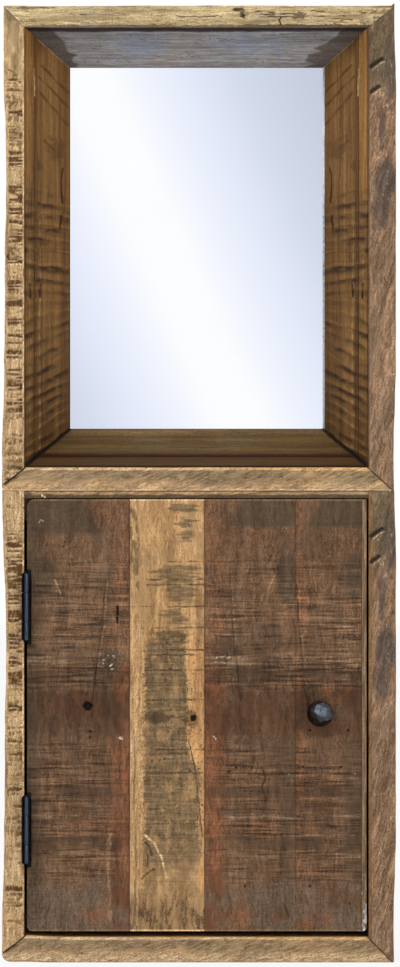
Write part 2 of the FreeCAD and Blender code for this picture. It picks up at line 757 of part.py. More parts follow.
# Door
X_LIPPING = X_DOOR_RIGHT - LIPPING
X_SEAMS = [
    X_LIPPING - PLANK_4 - PLANK_3 - PLANK_2,
    X_LIPPING - PLANK_4 - PLANK_3,
    X_LIPPING - PLANK_4,
]


def door_planks():
    """The four planks, tongued and grooved into each other."""
    y_tongue = Y_DOOR + (DOOR_THICKNESS - TONGUE) / 2
    edges = [X_DOOR_LEFT] + X_SEAMS + [X_LIPPING]
    planks = {}
    for number, (x0, x1) in enumerate(zip(edges[:-1], edges[1:]), start=1):
        plank = block(x0, x1, Y_DOOR, Y_DOOR_BACK, Z_DOOR_BOTTOM, Z_DOOR_TOP)
        if x1 in X_SEAMS:
            tongue = block(
                x1,
                x1 + TONGUE_LENGTH,
                y_tongue,
                y_tongue + TONGUE,
                Z_DOOR_BOTTOM,
                Z_DOOR_TOP,
            )
            plank = plank.fuse(tongue).removeSplitter()
        if x0 in X_SEAMS:
            groove = block(
                x0,
                x0 + TONGUE_LENGTH + TONGUE_CLEARANCE,
                y_tongue - TONGUE_CLEARANCE / 2,
                y_tongue + TONGUE + TONGUE_CLEARANCE / 2,
                Z_DOOR_BOTTOM,
                Z_DOOR_TOP,
            )
            plank = plank.cut(groove)
        planks[f"door_plank_{number}"] = plank
    top = corner_waste(X_DOOR_LEFT, Z_DOOR_TOP, DOOR_TOP_ROUNDING, -1, Y_DOOR, Y_DOOR_BACK)
    bottom = corner_waste(X_DOOR_LEFT, Z_DOOR_BOTTOM, DOOR_BOTTOM_ROUNDING, 1, Y_DOOR, Y_DOOR_BACK)
    planks["door_plank_1"] = planks["door_plank_1"].cut([top, bottom])
    return planks


def door_lipping():
    """The strip glued on the closing edge."""
    return block(X_LIPPING, X_DOOR_RIGHT, Y_DOOR, Y_DOOR_BACK, Z_DOOR_BOTTOM, Z_DOOR_TOP)


def door_batten(z_middle):
    """A batten across the back of the planks, with two screws into each plank."""
    half = BATTEN_HEIGHT / 2
    x0 = X_DOOR_LEFT + BATTEN_HINGE_END
    x1 = X_DOOR_RIGHT - BATTEN_CLOSING_END
    y1 = Y_DOOR_BACK + BATTEN_THICKNESS
    batten = block(x0, x1, Y_DOOR_BACK, y1, z_middle - half, z_middle + half)
    edges = [x0] + X_SEAMS + [x1]
    length = BATTEN_THICKNESS + BATTEN_SCREW_BITE
    screws = []
    for left, right in zip(edges[:-1], edges[1:]):
        for sign in (-1, 1):
            spot = V((left + right) / 2, y1, z_middle + sign * BATTEN_SCREW_PITCH / 2)
            screws.append(screw(spot, TO_FRONT, length))
    return batten, screws


def facet_cutter(centre, direction):
    """A block that shaves one hammered flat off a ball of the knob's radius."""
    side = 4 * KNOB_RADIUS
    cutter = Part.makeBox(side, side, side, V(-side / 2, -side / 2, 0))
    cutter.Placement = FreeCAD.Placement(
        centre + direction * (KNOB_RADIUS - KNOB_FACET_DEPTH),
        FreeCAD.Rotation(UP, direction),
    )
    return cutter


def knob():
    """A hammered ball on a short neck and a flat base."""
    seat = V(X_KNOB, Y_DOOR, Z_KNOB)
    centre = seat + TO_FRONT * (KNOB_PROJECTION - KNOB_RADIUS)
    ball = Part.makeSphere(KNOB_RADIUS, centre)
    for angle, count, first_turn in KNOB_FACET_RINGS:
        tilt = math.radians(angle)
        for i in range(count):
            turn = math.radians(first_turn + 360.0 * i / count)
            direction = V(
                math.sin(tilt) * math.cos(turn),
                -math.cos(tilt),
                math.sin(tilt) * math.sin(turn),
            )
            ball = ball.cut(facet_cutter(centre, direction))
    neck = rod(seat, TO_FRONT, KNOB_NECK_RADIUS, KNOB_PROJECTION - KNOB_RADIUS)
    base = rod(seat, TO_FRONT, KNOB_BASE_RADIUS, KNOB_BASE)
    return ball.fuse([neck, base]).removeSplitter()


def knob_screw():
    """The pan-headed screw that holds the knob from inside the door."""
    head = V(X_KNOB, Y_DOOR_BACK, Z_KNOB)
    shank = rod(head, TO_FRONT, KNOB_SCREW_RADIUS, DOOR_THICKNESS + KNOB_SCREW_BITE)
    pan = rod(head, TO_WALL, KNOB_SCREW_HEAD_RADIUS, KNOB_SCREW_HEAD)
    return shank.fuse(pan).removeSplitter()


def catch_strike():
    """The steel strike plate on the back of the door, and its screw."""
    x_middle = X_IN_RIGHT - CATCH_WIDTH / 2
    plate = block(
        min(x_middle - STRIKE_WIDTH / 2, X_DOOR_RIGHT - STRIKE_WIDTH),
        min(x_middle + STRIKE_WIDTH / 2, X_DOOR_RIGHT),
        Y_DOOR_BACK,
        Y_STRIKE,
        Z_CATCH - STRIKE_HEIGHT / 2,
        Z_CATCH + STRIKE_HEIGHT / 2,
    )
    centre = plate.CenterOfMass
    fixing = screw(V(centre.x, Y_STRIKE, centre.z), TO_FRONT, STRIKE_THICKNESS + STRIKE_SCREW_BITE)
    return plate.cut(fixing), fixing


# Assembly
def assemble():
    """Every piece by name, each a list of separate solids."""
    pieces = {}
    for group in (upper_boards(), lower_boards(), liners(), door_planks()):
        for name, shape in group.items():
            pieces[name] = [shape]
    pieces["mitre_splines"] = mitre_splines()
    pieces["mirror_glass"] = [mirror_glass()]
    pieces["mirror_backing"] = [mirror_backing()]
    pieces["backing_pins"] = backing_pins()
    pieces["hanging_rail"] = [rear_rail(Z_HANGING_RAIL, Z_IN_TOP)]
    pieces["mirror_rail"] = [rear_rail(Z_IN_MIDDLE, Z_IN_MIDDLE + MIRROR_RAIL_HEIGHT)]
    pieces["rail_dowels"] = rail_dowels()

    pieces["keyhole_screws"] = []
    for side, sign in (("left", -1), ("right", 1)):
        plate, screws, pockets = hanger(sign * (WIDTH / 2 - HANGER_INSET))
        pieces[f"{side}_keyhole_plate"] = [plate]
        pieces["keyhole_screws"] += screws
        pieces["hanging_rail"] = [pieces["hanging_rail"][0].cut(pockets)]

    pieces["lower_top_panel"] = [lower_top_panel()]
    pieces["lower_back_panel"] = [lower_back_panel()]
    pieces["back_panel_pins"] = back_panel_pins()
    pieces["cleat_side_screws"] = []
    pieces["cleat_top_screws"] = []
    for side, x_board, inward in (("left", X_IN_LEFT, RIGHT), ("right", X_IN_RIGHT, LEFT)):
        cleat, side_screws, top_screws = joining_cleat(x_board, inward)
        pieces[f"{side}_joining_cleat"] = [cleat]
        pieces["cleat_side_screws"] += side_screws
        pieces["cleat_top_screws"] += top_screws

    pieces["key_rail_screws"] = []
    for level, drop in (("upper", UPPER_KEY_RAIL_DROP), ("lower", LOWER_KEY_RAIL_DROP)):
        rail, hooks, screws = key_rail(drop)
        pieces[f"{level}_key_rail"] = [rail]
        pieces[f"{level}_key_hooks"] = hooks
        pieces["key_rail_screws"] += screws
    housing, magnet, screws = magnetic_catch()
    pieces["catch_housing"] = [housing]
    pieces["catch_magnet"] = [magnet]
    pieces["catch_screws"] = screws

    pieces["hinge_frame_screws"] = []
    pieces["hinge_door_screws"] = []
    for level, z in Z_HINGES.items():
        made = hinge(z)
        pieces[f"{level}_hinge_frame_leaf"] = [made["frame_leaf"]]
        pieces[f"{level}_hinge_door_leaf"] = [made["door_leaf"]]
        pieces[f"{level}_hinge_pin"] = [made["pin"]]
        pieces["hinge_frame_screws"] += made["frame_screws"]
        pieces["hinge_door_screws"] += made["door_screws"]

    pieces["door_edge_lipping"] = [door_lipping()]
    pieces["door_batten_screws"] = []
    batten_levels = {
        "upper": Z_DOOR_TOP - BATTEN_EDGE - BATTEN_HEIGHT / 2,
        "lower": Z_DOOR_BOTTOM + BATTEN_EDGE + BATTEN_HEIGHT / 2,
    }
    for level, z in batten_levels.items():
        batten, screws = door_batten(z)
        pieces[f"{level}_door_batten"] = [batten]
        pieces["door_batten_screws"] += screws
    pieces["knob"] = [knob()]
    pieces["knob_screw"] = [knob_screw()]
    strike, fixing = catch_strike()
    pieces["catch_strike"] = [strike]
    pieces["catch_strike_screw"] = [fixing]
    return pieces


UPPER_BOARDS = ["upper_left_board", "upper_right_board", "upper_top_board", "upper_bottom_board"]
LOWER_BOARDS = ["lower_left_board", "lower_right_board", "lower_bottom_board"]
LINERS = ["liner_left", "liner_right", "liner_top", "liner_bottom"]
PLANKS = ["door_plank_1", "door_plank_2", "door_plank_3", "door_plank_4"]

# What is let into what: each piece on the left cuts its own seat in the pieces on the right.
SEATED_IN = {
    "mitre_splines": UPPER_BOARDS + LOWER_BOARDS,
    "rail_dowels": ["upper_left_board", "upper_right_board", "hanging_rail", "mirror_rail"],
    "backing_pins": ["mirror_backing"] + LINERS,
    "keyhole_screws": ["hanging_rail"],
    "back_panel_pins": ["lower_back_panel"] + LOWER_BOARDS,
    "cleat_side_screws": [
        "left_joining_cleat",
        "right_joining_cleat",
        "lower_left_board",
        "lower_right_board",
    ],
    "cleat_top_screws": [
        "left_joining_cleat",
        "right_joining_cleat",
        "lower_top_panel",
        "upper_bottom_board",
    ],
    "key_rail_screws": ["lower_back_panel", "upper_key_rail", "lower_key_rail"],
    "upper_key_hooks": ["upper_key_rail"],
    "lower_key_hooks": ["lower_key_rail"],
    "catch_screws": ["lower_right_board"],
    "upper_hinge_frame_leaf": ["lower_left_board"],
    "lower_hinge_frame_leaf": ["lower_left_board"],
    "hinge_frame_screws": ["lower_left_board"],
    "upper_hinge_door_leaf": ["door_plank_1"],
    "lower_hinge_door_leaf": ["door_plank_1"],
    "hinge_door_screws": ["door_plank_1"],
    "door_batten_screws": ["upper_door_batten", "lower_door_batten"] + PLANKS,
    "knob_screw": ["door_plank_4", "knob"],
    "catch_strike_screw": ["door_plank_4"],
}


def main():
    os.makedirs("parts", exist_ok=True)
    pieces = assemble()
    for tool, hosts in SEATED_IN.items():
        for host in hosts:
            pieces[host] = [solid.cut(pieces[tool]) for solid in pieces[host]]
    for name, shapes in pieces.items():
        solids = [solid for shape in shapes for solid in shape.Solids]
        shape = solids[0] if len(solids) == 1 else Part.makeCompound(solids)
        shape.exportStep(f"parts/{name}.step")
        print(f"{name}: {len(solids)} solid(s), {shape.Volume:.1f} mm3, valid {shape.isValid()}")
    print(f"{len(pieces)} nodes")


main()
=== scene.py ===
# %% [markdown]
# A wall cabinet of reclaimed boards: a mirror at the back of a splayed liner above, and a small key
# cupboard with a plank door below. The CAD model gives every board its place, so it is loaded first as a
# fixed frame. All that follows gives those boards the torn, stained and worn faces of old timber.

# %% Load the frame
import math

import bmesh
import bpy
import numpy as np
from mathutils import Matrix, Vector


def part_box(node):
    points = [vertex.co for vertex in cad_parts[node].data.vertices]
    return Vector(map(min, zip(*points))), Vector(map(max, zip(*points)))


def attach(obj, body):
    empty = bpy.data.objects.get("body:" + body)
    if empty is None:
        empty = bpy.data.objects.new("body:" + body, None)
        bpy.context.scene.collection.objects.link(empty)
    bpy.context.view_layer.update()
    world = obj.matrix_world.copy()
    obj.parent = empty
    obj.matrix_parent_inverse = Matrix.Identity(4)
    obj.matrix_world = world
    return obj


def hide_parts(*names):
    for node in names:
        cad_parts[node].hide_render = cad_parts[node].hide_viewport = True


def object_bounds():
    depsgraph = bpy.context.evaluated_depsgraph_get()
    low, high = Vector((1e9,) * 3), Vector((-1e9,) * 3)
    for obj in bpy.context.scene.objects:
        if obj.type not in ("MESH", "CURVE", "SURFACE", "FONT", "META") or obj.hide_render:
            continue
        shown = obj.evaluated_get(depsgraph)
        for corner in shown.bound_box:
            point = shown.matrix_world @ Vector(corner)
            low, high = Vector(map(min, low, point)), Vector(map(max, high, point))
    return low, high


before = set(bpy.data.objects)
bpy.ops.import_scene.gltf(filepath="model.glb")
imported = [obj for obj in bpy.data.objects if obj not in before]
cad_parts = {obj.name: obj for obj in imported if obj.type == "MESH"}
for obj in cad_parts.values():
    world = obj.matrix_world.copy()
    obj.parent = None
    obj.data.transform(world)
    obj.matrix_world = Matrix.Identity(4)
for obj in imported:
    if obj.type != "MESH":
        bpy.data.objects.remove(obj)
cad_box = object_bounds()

print("frame:", len(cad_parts), "nodes, box", [[round(v, 3) for v in corner] for corner in cad_box])

# %% [markdown]
# The cabinet is seen straight from the front, with hardly any perspective. A long lens far away gives
# that: the camera stands five metres in front of the boards, level, a little above the middle, and its
# picture is shifted down so that the boards stay upright. That shows a little more of the lower liner
# than of the upper one. The lens follows from how much height the picture shows at that distance.

# %% Stand the camera in front
PICTURE_HEIGHT = 0.7434  # metres shown at the front of the boards
PICTURE_MIDDLE = -0.3183
CAMERA_DISTANCE = 5.0
CAMERA_RISE = 0.105
CAMERA_SIDE = 0.0003
SENSOR_HEIGHT = 36.0
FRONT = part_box("upper_left_board")[0][1]

camera_data = bpy.data.cameras.new("front_camera")
camera_data.sensor_fit = "VERTICAL"
camera_data.sensor_height = SENSOR_HEIGHT
camera_data.lens = SENSOR_HEIGHT * CAMERA_DISTANCE / PICTURE_HEIGHT
camera = bpy.data.objects.new("front_camera", camera_data)
camera_data.shift_y = -CAMERA_RISE / PICTURE_HEIGHT
camera.location = (CAMERA_SIDE, FRONT - CAMERA_DISTANCE, PICTURE_MIDDLE + CAMERA_RISE)
camera.rotation_euler = (math.pi / 2, 0.0, 0.0)
bpy.context.scene.collection.objects.link(camera)
bpy.context.scene.camera = camera
bpy.context.scene.view_settings.view_transform = "Standard"
print("lens:", round(camera_data.lens, 1), "mm")

# %% [markdown]
# Materials are node trees. Writing them node by node hides the thought behind them, so one small class
# stands for a value in the tree and lets sums be written as sums. A second class is the finish itself:
# it adds any node from its type, its settings and its sockets.


# %% Write node trees as sums
class Level:
    """A value in a finish's node tree; arithmetic on it adds Math nodes."""

    def __init__(self, finish, socket):
        self.finish = finish
        self.socket = socket

    def math(self, operation, first, second=0.0, clamp=False):
        settings = {"operation": operation, "use_clamp": clamp}
        return self.finish.add("ShaderNodeMath", settings, {0: first, 1: second})

    def __add__(self, other):
        return self.math("ADD", self, other)

    def __sub__(self, other):
        return self.math("SUBTRACT", self, other)

    def __rsub__(self, other):
        return self.math("SUBTRACT", other, self)

    def __mul__(self, other):
        return self.math("MULTIPLY", self, other)

    def __truediv__(self, other):
        return self.math("DIVIDE", self, other)

    __radd__ = __add__
    __rmul__ = __mul__

    def size(self):
        return self.math("ABSOLUTE", self)

    def clipped(self):
        return self.math("ADD", self, 0.0, clamp=True)

    def stretched(self, low, high):
        """0 at low and below, 1 at high and above."""
        return self.math("MULTIPLY", self - low, 1.0 / (high - low), clamp=True)


class Finish:
    """A node tree under construction, of a material or of the world."""

    def __init__(self, owner):
        owner.use_nodes = True
        self.owner = owner
        self.tree = owner.node_tree
        self.tree.nodes.clear()

    def add(self, kind, settings=None, sockets=None, out=0):
        node = self.tree.nodes.new(kind)
        for name, value in (settings or {}).items():
            if name == "stops":
                self.fill_ramp(node.color_ramp, value)
            else:
                setattr(node, name, value)
        for name, value in (sockets or {}).items():
            if isinstance(value, Level):
                self.tree.links.new(value.socket, node.inputs[name])
            else:
                node.inputs[name].default_value = value
        return Level(self, node.outputs[out]) if node.outputs else None

    def fill_ramp(self, ramp, stops):
        while len(ramp.elements) < len(stops):
            ramp.elements.new(1.0)
        for element, (position, colour) in zip(ramp.elements, stops):
            element.position = position
            element.color = colour

    def mix(self, first, second, amount):
        sockets = {0: amount, 6: first, 7: second}
        return self.add("ShaderNodeMix", {"data_type": "RGBA"}, sockets, out=2)

    def vector(self, operation, first, second):
        sockets = {0: first, "Scale": second} if operation == "SCALE" else {0: first, 1: second}
        return self.add("ShaderNodeVectorMath", {"operation": operation}, sockets)

    def attribute(self, name):
        settings = {"attribute_type": "GEOMETRY", "attribute_name": name}
        return self.add("ShaderNodeAttribute", settings, out="Fac")

    def noise(self, vector, detail=3.0, roughness=0.55, distortion=0.0):
        sockets = {
            "Vector": vector,
            "Scale": 1.0,
            "Detail": detail,
            "Roughness": roughness,
            "Distortion": distortion,
        }
        return self.add("ShaderNodeTexNoise", {"noise_dimensions": "3D"}, sockets)


def tone(red, green, blue):
    """A colour as it looks on a screen, 0 to 255, turned into the linear values that shaders use."""
    linear = []
    for value in (red, green, blue):
        part = value / 255.0
        linear.append(part / 12.92 if part <= 0.04045 else ((part + 0.055) / 1.055) ** 2.4)
    return (*linear, 1.0)


print("sample tone:", [round(v, 3) for v in tone(185, 162, 121)])

# %% [markdown]
# The light is plain: an even pale sky gives most of it, so that a colour renders about as it is written,
# and two soft lamps from the upper left and the right front give the saw marks a little shade. The
# mirror looks straight back past the camera, so what lies there is what it shows: a soft white band running
# down to the right, fading to pale blue. Only mirror-like rays see that band; to the sides they see a pale
# grey room, lighter above, which gives the iron its shine.

# %% Light the room
MIRROR_DISTANCE = 5066.0  # millimetres, camera to glass
SKY_LEVEL = 0.62
BAND_MIDDLE = (-88.4, 209.0)  # millimetres on the glass
BAND_LEAN = (0.914, 0.405)  # across the band
BAND_REACH = 400.0
WHITE = (1.0, 1.0, 1.0, 1.0)

world = bpy.data.worlds.new("pale_room")
bpy.context.scene.world = world
sky = Finish(world)
direction = sky.add("ShaderNodeTexCoord", out="Generated")
parts = sky.add("ShaderNodeSeparateXYZ", None, {0: direction})
along_x, along_y, along_z = (Level(sky, parts.socket.node.outputs[i]) for i in range(3))
forward = along_y.math("MAXIMUM", 0.0 - along_y, 0.05)
band_x = along_x / forward * MIRROR_DISTANCE
band_z = along_z / forward * MIRROR_DISTANCE
off_band = BAND_LEAN[0] * (band_x - BAND_MIDDLE[0]) + BAND_LEAN[1] * (band_z - BAND_MIDDLE[1])
off_band = off_band.size() / BAND_REACH
band = sky.add(
    "ShaderNodeValToRGB",
    {
        "stops": [
            (0.04, WHITE),
            (0.10, tone(243, 246, 255)),
            (0.19, tone(229, 234, 249)),
            (0.28, tone(213, 219, 234)),
            (0.42, tone(198, 204, 218)),
            (0.80, tone(205, 210, 222)),
        ]
    },
    {0: off_band},
)
room_tone = 0.5 + along_z.stretched(-0.2, 0.9) * 0.4
straight = forward.stretched(0.86, 0.97)
room = sky.add("ShaderNodeCombineColor", None, {0: room_tone, 1: room_tone, 2: room_tone * 1.05})
band = sky.mix(room, band, straight)
rays = sky.add("ShaderNodeLightPath", out="Is Camera Ray")
outputs = rays.socket.node.outputs
mirrored = Level(sky, outputs["Is Glossy Ray"])
seen = (rays + Level(sky, outputs["Is Transmission Ray"])).clipped()
level = sky.add("ShaderNodeBackground", None, {"Color": WHITE, "Strength": SKY_LEVEL})
shown = sky.add("ShaderNodeBackground", None, {"Color": band, "Strength": 1.0})
white = sky.add("ShaderNodeBackground", None, {"Color": WHITE, "Strength": 1.0})
lit = sky.add("ShaderNodeMixShader", None, {0: mirrored, 1: level, 2: shown})
final = sky.add("ShaderNodeMixShader", None, {0: seen, 1: lit, 2: white})
sky.add("ShaderNodeOutputWorld", None, {"Surface": final})


def soft_lamp(name, place, size, watts):
    """A square area lamp that looks at the middle of the cabinet."""
    data = bpy.data.lights.new(name, "AREA")
    data.size = size
    data.energy = watts
    lamp = bpy.data.objects.new(name, data)
    lamp.location = place
    aim = Vector((0.0, 0.0, PICTURE_MIDDLE))
    lamp.rotation_euler = (aim - lamp.location).to_track_quat("-Z", "Y").to_euler()
    bpy.context.scene.collection.objects.link(lamp)
    print(name, "at", place, watts, "W")


soft_lamp("upper_left_lamp", (-1.5, -2.2, 1.5), 1.2, 30.0)
soft_lamp("right_lamp", (1.9, -2.4, 0.2), 1.2, 9.0)

# %% [markdown]
# The floor is a wide pale sheet just under the cabinet. It is a plain matt surface that takes the soft
# shadow, lifted to white for the rays that look at it, so that it melts into the background.

# %% Lay the floor
FLOOR_HALF = 6.0
FLOOR_LIFT = 0.86  # share of plain white in what the camera sees

floor_mesh = bpy.data.meshes.new("floor")
bm = bmesh.new()
bmesh.ops.create_grid(bm, x_segments=8, y_segments=8, size=FLOOR_HALF)
bmesh.ops.translate(bm, vec=(0.0, 0.0, cad_box[0][2] - 0.0005), verts=bm.verts[:])
bm.to_mesh(floor_mesh)
bm.free()
floor = bpy.data.objects.new("floor", floor_mesh)
bpy.context.scene.collection.objects.link(floor)

sheet = Finish(bpy.data.materials.new("pale_floor"))
matt = sheet.add("ShaderNodeBsdfDiffuse", None, {"Color": (0.95, 0.95, 0.95, 1.0)})
glow = sheet.add("ShaderNodeEmission", None, {"Color": WHITE, "Strength": 1.0})
floor_rays = sheet.add("ShaderNodeLightPath", out="Is Camera Ray")
outputs = floor_rays.socket.node.outputs
looking = floor_rays + Level(sheet, outputs["Is Glossy Ray"]) + Level(sheet, outputs["Is Transmission Ray"])
surface = sheet.add("ShaderNodeMixShader", None, {0: looking.clipped() * FLOOR_LIFT, 1: matt, 2: glow})
sheet.add("ShaderNodeOutputMaterial", None, {"Surface": surface})
floor.data.materials.append(sheet.owner)
print("floor at", round(cad_box[0][2], 4))

# %% [markdown]
# Old boards are carved and stained by the same events: a saw tears a hollow and dirt settles in it, a
# crack opens, and the shade inside it is painted black. So each board gets one description of its marks,
# which both moves the points of its mesh and fills a few named masks on it. The masks say where the wood
# is grey, red, dark, golden or pale, where painted shade blackens cracks, holes and gaps, and where saw
# lines cross it; the finish later gives them their colours. The marks need noise that is the same on
# every run, and numpy makes it for all points of a board at once.


# %% Make repeatable noise
def lattice(column, row, seed):
    """A repeatable number between 0 and 1 for each grid point."""
    value = np.sin(column * 127.1 + row * 311.7 + seed * 74.7) * 43758.5453
    return value - np.floor(value)


def mottle(across, along, seed):
    """Smooth blotches between 0 and 1, one unit wide."""
    column, row = np.floor(across), np.floor(along)
    s, t = across - column, along - row
    s, t = s * s * (3 - 2 * s), t * t * (3 - 2 * t)
    low = lattice(column, row, seed) * (1 - s) + lattice(column + 1, row, seed) * s
    high = lattice(column, row + 1, seed) * (1 - s) + lattice(column + 1, row + 1, seed) * s
    return low * (1 - t) + high * t


def layered(across, along, seed):
    """Three sizes of blotches on top of each other."""
    large = mottle(across, along, seed)
    medium = mottle(across * 2.1, along * 2.1, seed + 11)
    small = mottle(across * 4.3, along * 4.3, seed + 23)
    return (large * 4 + medium * 2 + small) / 7


def ramp(value, low, high):
    """0 at low, 1 at high, smooth in between."""
    t = np.clip((value - low) / (high - low), 0, 1)
    return t * t * (3 - 2 * t)


def ridges(value, sharp):
    """1 where smooth blotches pass through one half: thin lines that wander."""
    return ramp(1 - np.abs(2 * value - 1), 1 - sharp, 1.0)


def cloud(x, z, wide, tall, seed, low, high):
    """Blotches of one size across and another up the board, 0 below low and 1 above high."""
    return ramp(layered(x / wide, z / tall, seed), low, high)


def speck(x, z, wide, tall, seed, low, high):
    """The same from a single, smoother layer."""
    return ramp(mottle(x / wide, z / tall, seed), low, high)


def stray(x, z, wide, tall, seed):
    """Blotches around nought, for edges that wander."""
    return layered(x / wide, z / tall, seed) - 0.5


def shake(x, z, wide, tall, seed):
    """The same from a single, smoother layer."""
    return mottle(x / wide, z / tall, seed) - 0.5


print("mottle sample:", mottle(np.array([0.3, 1.7]), np.array([0.2, 4.4]), 1).round(3))

# %% [markdown]
# Marks are drawn in millimetres on the front of the cabinet. A line wavers and swells as a real crack
# does, a patch has a ragged edge, and a nail hole is a small dark disc with a torn rim.


# %% Draw marks
def line(x, z, points, width):
    """1 along a drawn line, fading to 0 at its sides."""
    shaky_x = x + 0.8 * shake(x, z, 3.4, 3.4, 5)
    shaky_z = z + 0.8 * shake(x, z, 3.4, 3.4, 6)
    nearest = np.full(x.shape, 1e6)
    for (x0, z0), (x1, z1) in zip(points, points[1:]):
        dx, dz = x1 - x0, z1 - z0
        t = np.clip(((shaky_x - x0) * dx + (shaky_z - z0) * dz) / (dx * dx + dz * dz), 0, 1)
        nearest = np.minimum(nearest, np.hypot(shaky_x - x0 - t * dx, shaky_z - z0 - t * dz))
    swell = width * (0.6 + 0.65 * mottle(x / 5, z / 5, 7))
    return 1 - ramp(nearest, swell * 0.15, swell * 0.8)


def lines(x, z, strokes):
    """Several lines at once: each is its points and its width."""
    return np.maximum.reduce([line(x, z, points, width) for points, width in strokes])


def patch(x, z, middle, half, seed, ragged=0.7):
    """1 in an oval with a ragged edge, 0 outside it."""
    reach = np.hypot((x - middle[0]) / half[0], (z - middle[1]) / half[1])
    torn = 0.7 * layered(x / 7, z / 5, seed) + 0.3 * mottle(x / 1.4, z / 1.1, seed + 1)
    return 1 - ramp(reach + ragged * 2 * (torn - 0.5), 0.6, 1.2)


def spots(x, z, places, radius):
    """1 in each of a few round dots."""
    mark = np.zeros(x.shape)
    for spot_x, spot_z in places:
        mark = np.maximum(mark, 1 - ramp(np.hypot(x - spot_x, z - spot_z), radius * 0.6, radius * 1.15))
    return mark


def nail_hole(x, z, middle, radius):
    """A round hole with a torn rim."""
    reach = np.hypot(x - middle[0], z - middle[1]) + 1.2 * shake(x, z, 1.3, 1.3, 99)
    return 1 - ramp(reach, radius * 0.75, radius * 1.15)


def strongest(*marks):
    """The deepest of several marks at each point."""
    return np.maximum.reduce(marks)


print("hole, at its middle and outside:", nail_hole(np.array([0, 9]), np.zeros(2), (0, 0), 3).round(2))

# %% [markdown]
# Every board starts as its section, a few points, extruded along its length. Its front arrises are
# bevelled, then it is subdivided: rows all along it, and close points across the face that is seen. That
# leaves a fine skin to carve in front and few faces behind.


# %% Saw a blank
NEAR = 0.001  # points closer than this lie in one place


def on_edge(point, start, end):
    """True where a point of the section lies on the straight run from start to end."""
    du, dw = end[0] - start[0], end[1] - start[1]
    length = math.hypot(du, dw)
    off = abs((point.x - start[0]) * dw - (point.z - start[1]) * du) / length
    along = ((point.x - start[0]) * du + (point.z - start[1]) * dw) / length
    return off < NEAR and -NEAR < along < length + NEAR


def sawn_blank(section, length, row, steps, arrises, rounding):
    """A straight board of a section of (across, depth) points. steps gives, for some numbered edges of
    the section, how close their points lie; arrises are the numbers of the corners that are rounded."""
    bm = bmesh.new()
    bm.faces.new([bm.verts.new((u, 0, w)) for u, w in section])
    grown = bmesh.ops.extrude_face_region(bm, geom=bm.faces[:])
    far_end = [item for item in grown["geom"] if isinstance(item, bmesh.types.BMVert)]
    bmesh.ops.translate(bm, vec=(0, length, 0), verts=far_end)
    corners = [section[number] for number in arrises]
    worn = []
    for edge in bm.edges:
        a, b = (vert.co for vert in edge.verts)
        if abs(a.y - b.y) > 0.5 * length and any(math.dist((a.x, a.z), corner) < NEAR for corner in corners):
            worn.append(edge)
    bmesh.ops.bevel(bm, geom=worn, offset=rounding, segments=2, profile=0.5, affect="EDGES", material=-1)
    lengthwise = [e for e in bm.edges if abs(e.verts[0].co.y - e.verts[1].co.y) > 0.5 * length]
    bmesh.ops.subdivide_edges(bm, edges=lengthwise, cuts=round(length / row) - 1, use_grid_fill=True)
    for number, step in steps.items():
        start, end = section[number], section[(number + 1) % len(section)]
        crossing = []
        for edge in bm.edges:
            a, b = (vert.co for vert in edge.verts)
            if abs(a.y - b.y) < 0.05 and on_edge(a, start, end) and on_edge(b, start, end):
                crossing.append(edge)
        cuts = max(1, round(math.dist(start, end) / step) - 1)
        bmesh.ops.subdivide_edges(bm, edges=crossing, cuts=cuts, use_grid_fill=True)
    return bm


def plain_section(width, depth):
    """Outer front corner, inner front corner, inner back corner, outer back corner."""
    return [(0, 0), (width, 0), (width, depth), (0, depth)]


print("section of a small board:", plain_section(20, 90))

# %% [markdown]
# A blank is carved while it is still straight, then laid in its place with its mitres. Placing it is a
# small function from board measures to cabinet measures: across the board from its outer side, along it
# from 0 to 1, and into it.

# %% Place a blank
MM = 1000


def node_box(node):
    """A CAD node's lowest and highest corner in millimetres."""
    low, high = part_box(node)
    return [v * MM for v in low], [v * MM for v in high]


FACE_Y = node_box("upper_left_board")[0][1]  # the front of the boards


def standing(x_outer, inward, z_low, z_high, width, low_mitre=0, high_mitre=0, y_face=FACE_Y):
    """Places an upright board."""

    def place(u, t, w):
        low = z_low + low_mitre * u / width
        high = z_high - high_mitre * u / width
        return x_outer + inward * u, y_face + w, low + (high - low) * t

    return place


def lying(z_outer, inward, x_left, x_right, width, left_mitre=0, right_mitre=0, y_face=FACE_Y):
    """Places a level board."""

    def place(u, t, w):
        left = x_left + left_mitre * u / width
        right = x_right - right_mitre * u / width
        return left + (right - left) * t, y_face + w, z_outer + inward * u

    return place


print("front of the boards at", round(FACE_Y, 2), "mm")

# %% [markdown]
# Carving runs on all points at once. The marks give each point of the face a depth and its masks; both
# fade out on the sides of the board, a few millimetres behind the face. The finished mesh becomes the
# piece that rides on its body and stands for its node.


# %% Carve a blank and lay it in place
ROW = 0.65  # spacing of points along the boards
FADE = 3  # how far behind the face the marks end
WAVES = (26, 31)  # lengths of the waves of the outer and inner edge
BOARD_CREASE = 50  # degrees beyond which an edge is shaded sharp


def face_distance(u, w, start, end):
    """How far points of the section lie from the line of its visible face."""
    du, dw = end[0] - start[0], end[1] - start[1]
    return np.abs((u - start[0]) * dw - (w - start[1]) * du) / math.hypot(du, dw)


def add_piece(mesh, node, body):
    """Makes a mesh the piece that stands for a node and rides on a body."""
    piece = bpy.data.objects.new(mesh.name, mesh)
    bpy.context.scene.collection.objects.link(piece)
    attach(piece, body)
    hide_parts(node)
    print(mesh.name, len(mesh.polygons), "faces")


def smooth_but_for_edges(mesh, degrees):
    """Shades a mesh smooth, apart from edges sharper than an angle."""
    mesh.polygons.foreach_set("use_smooth", np.ones(len(mesh.polygons), dtype=bool))
    mesh.set_sharp_from_angle(angle=math.radians(degrees))


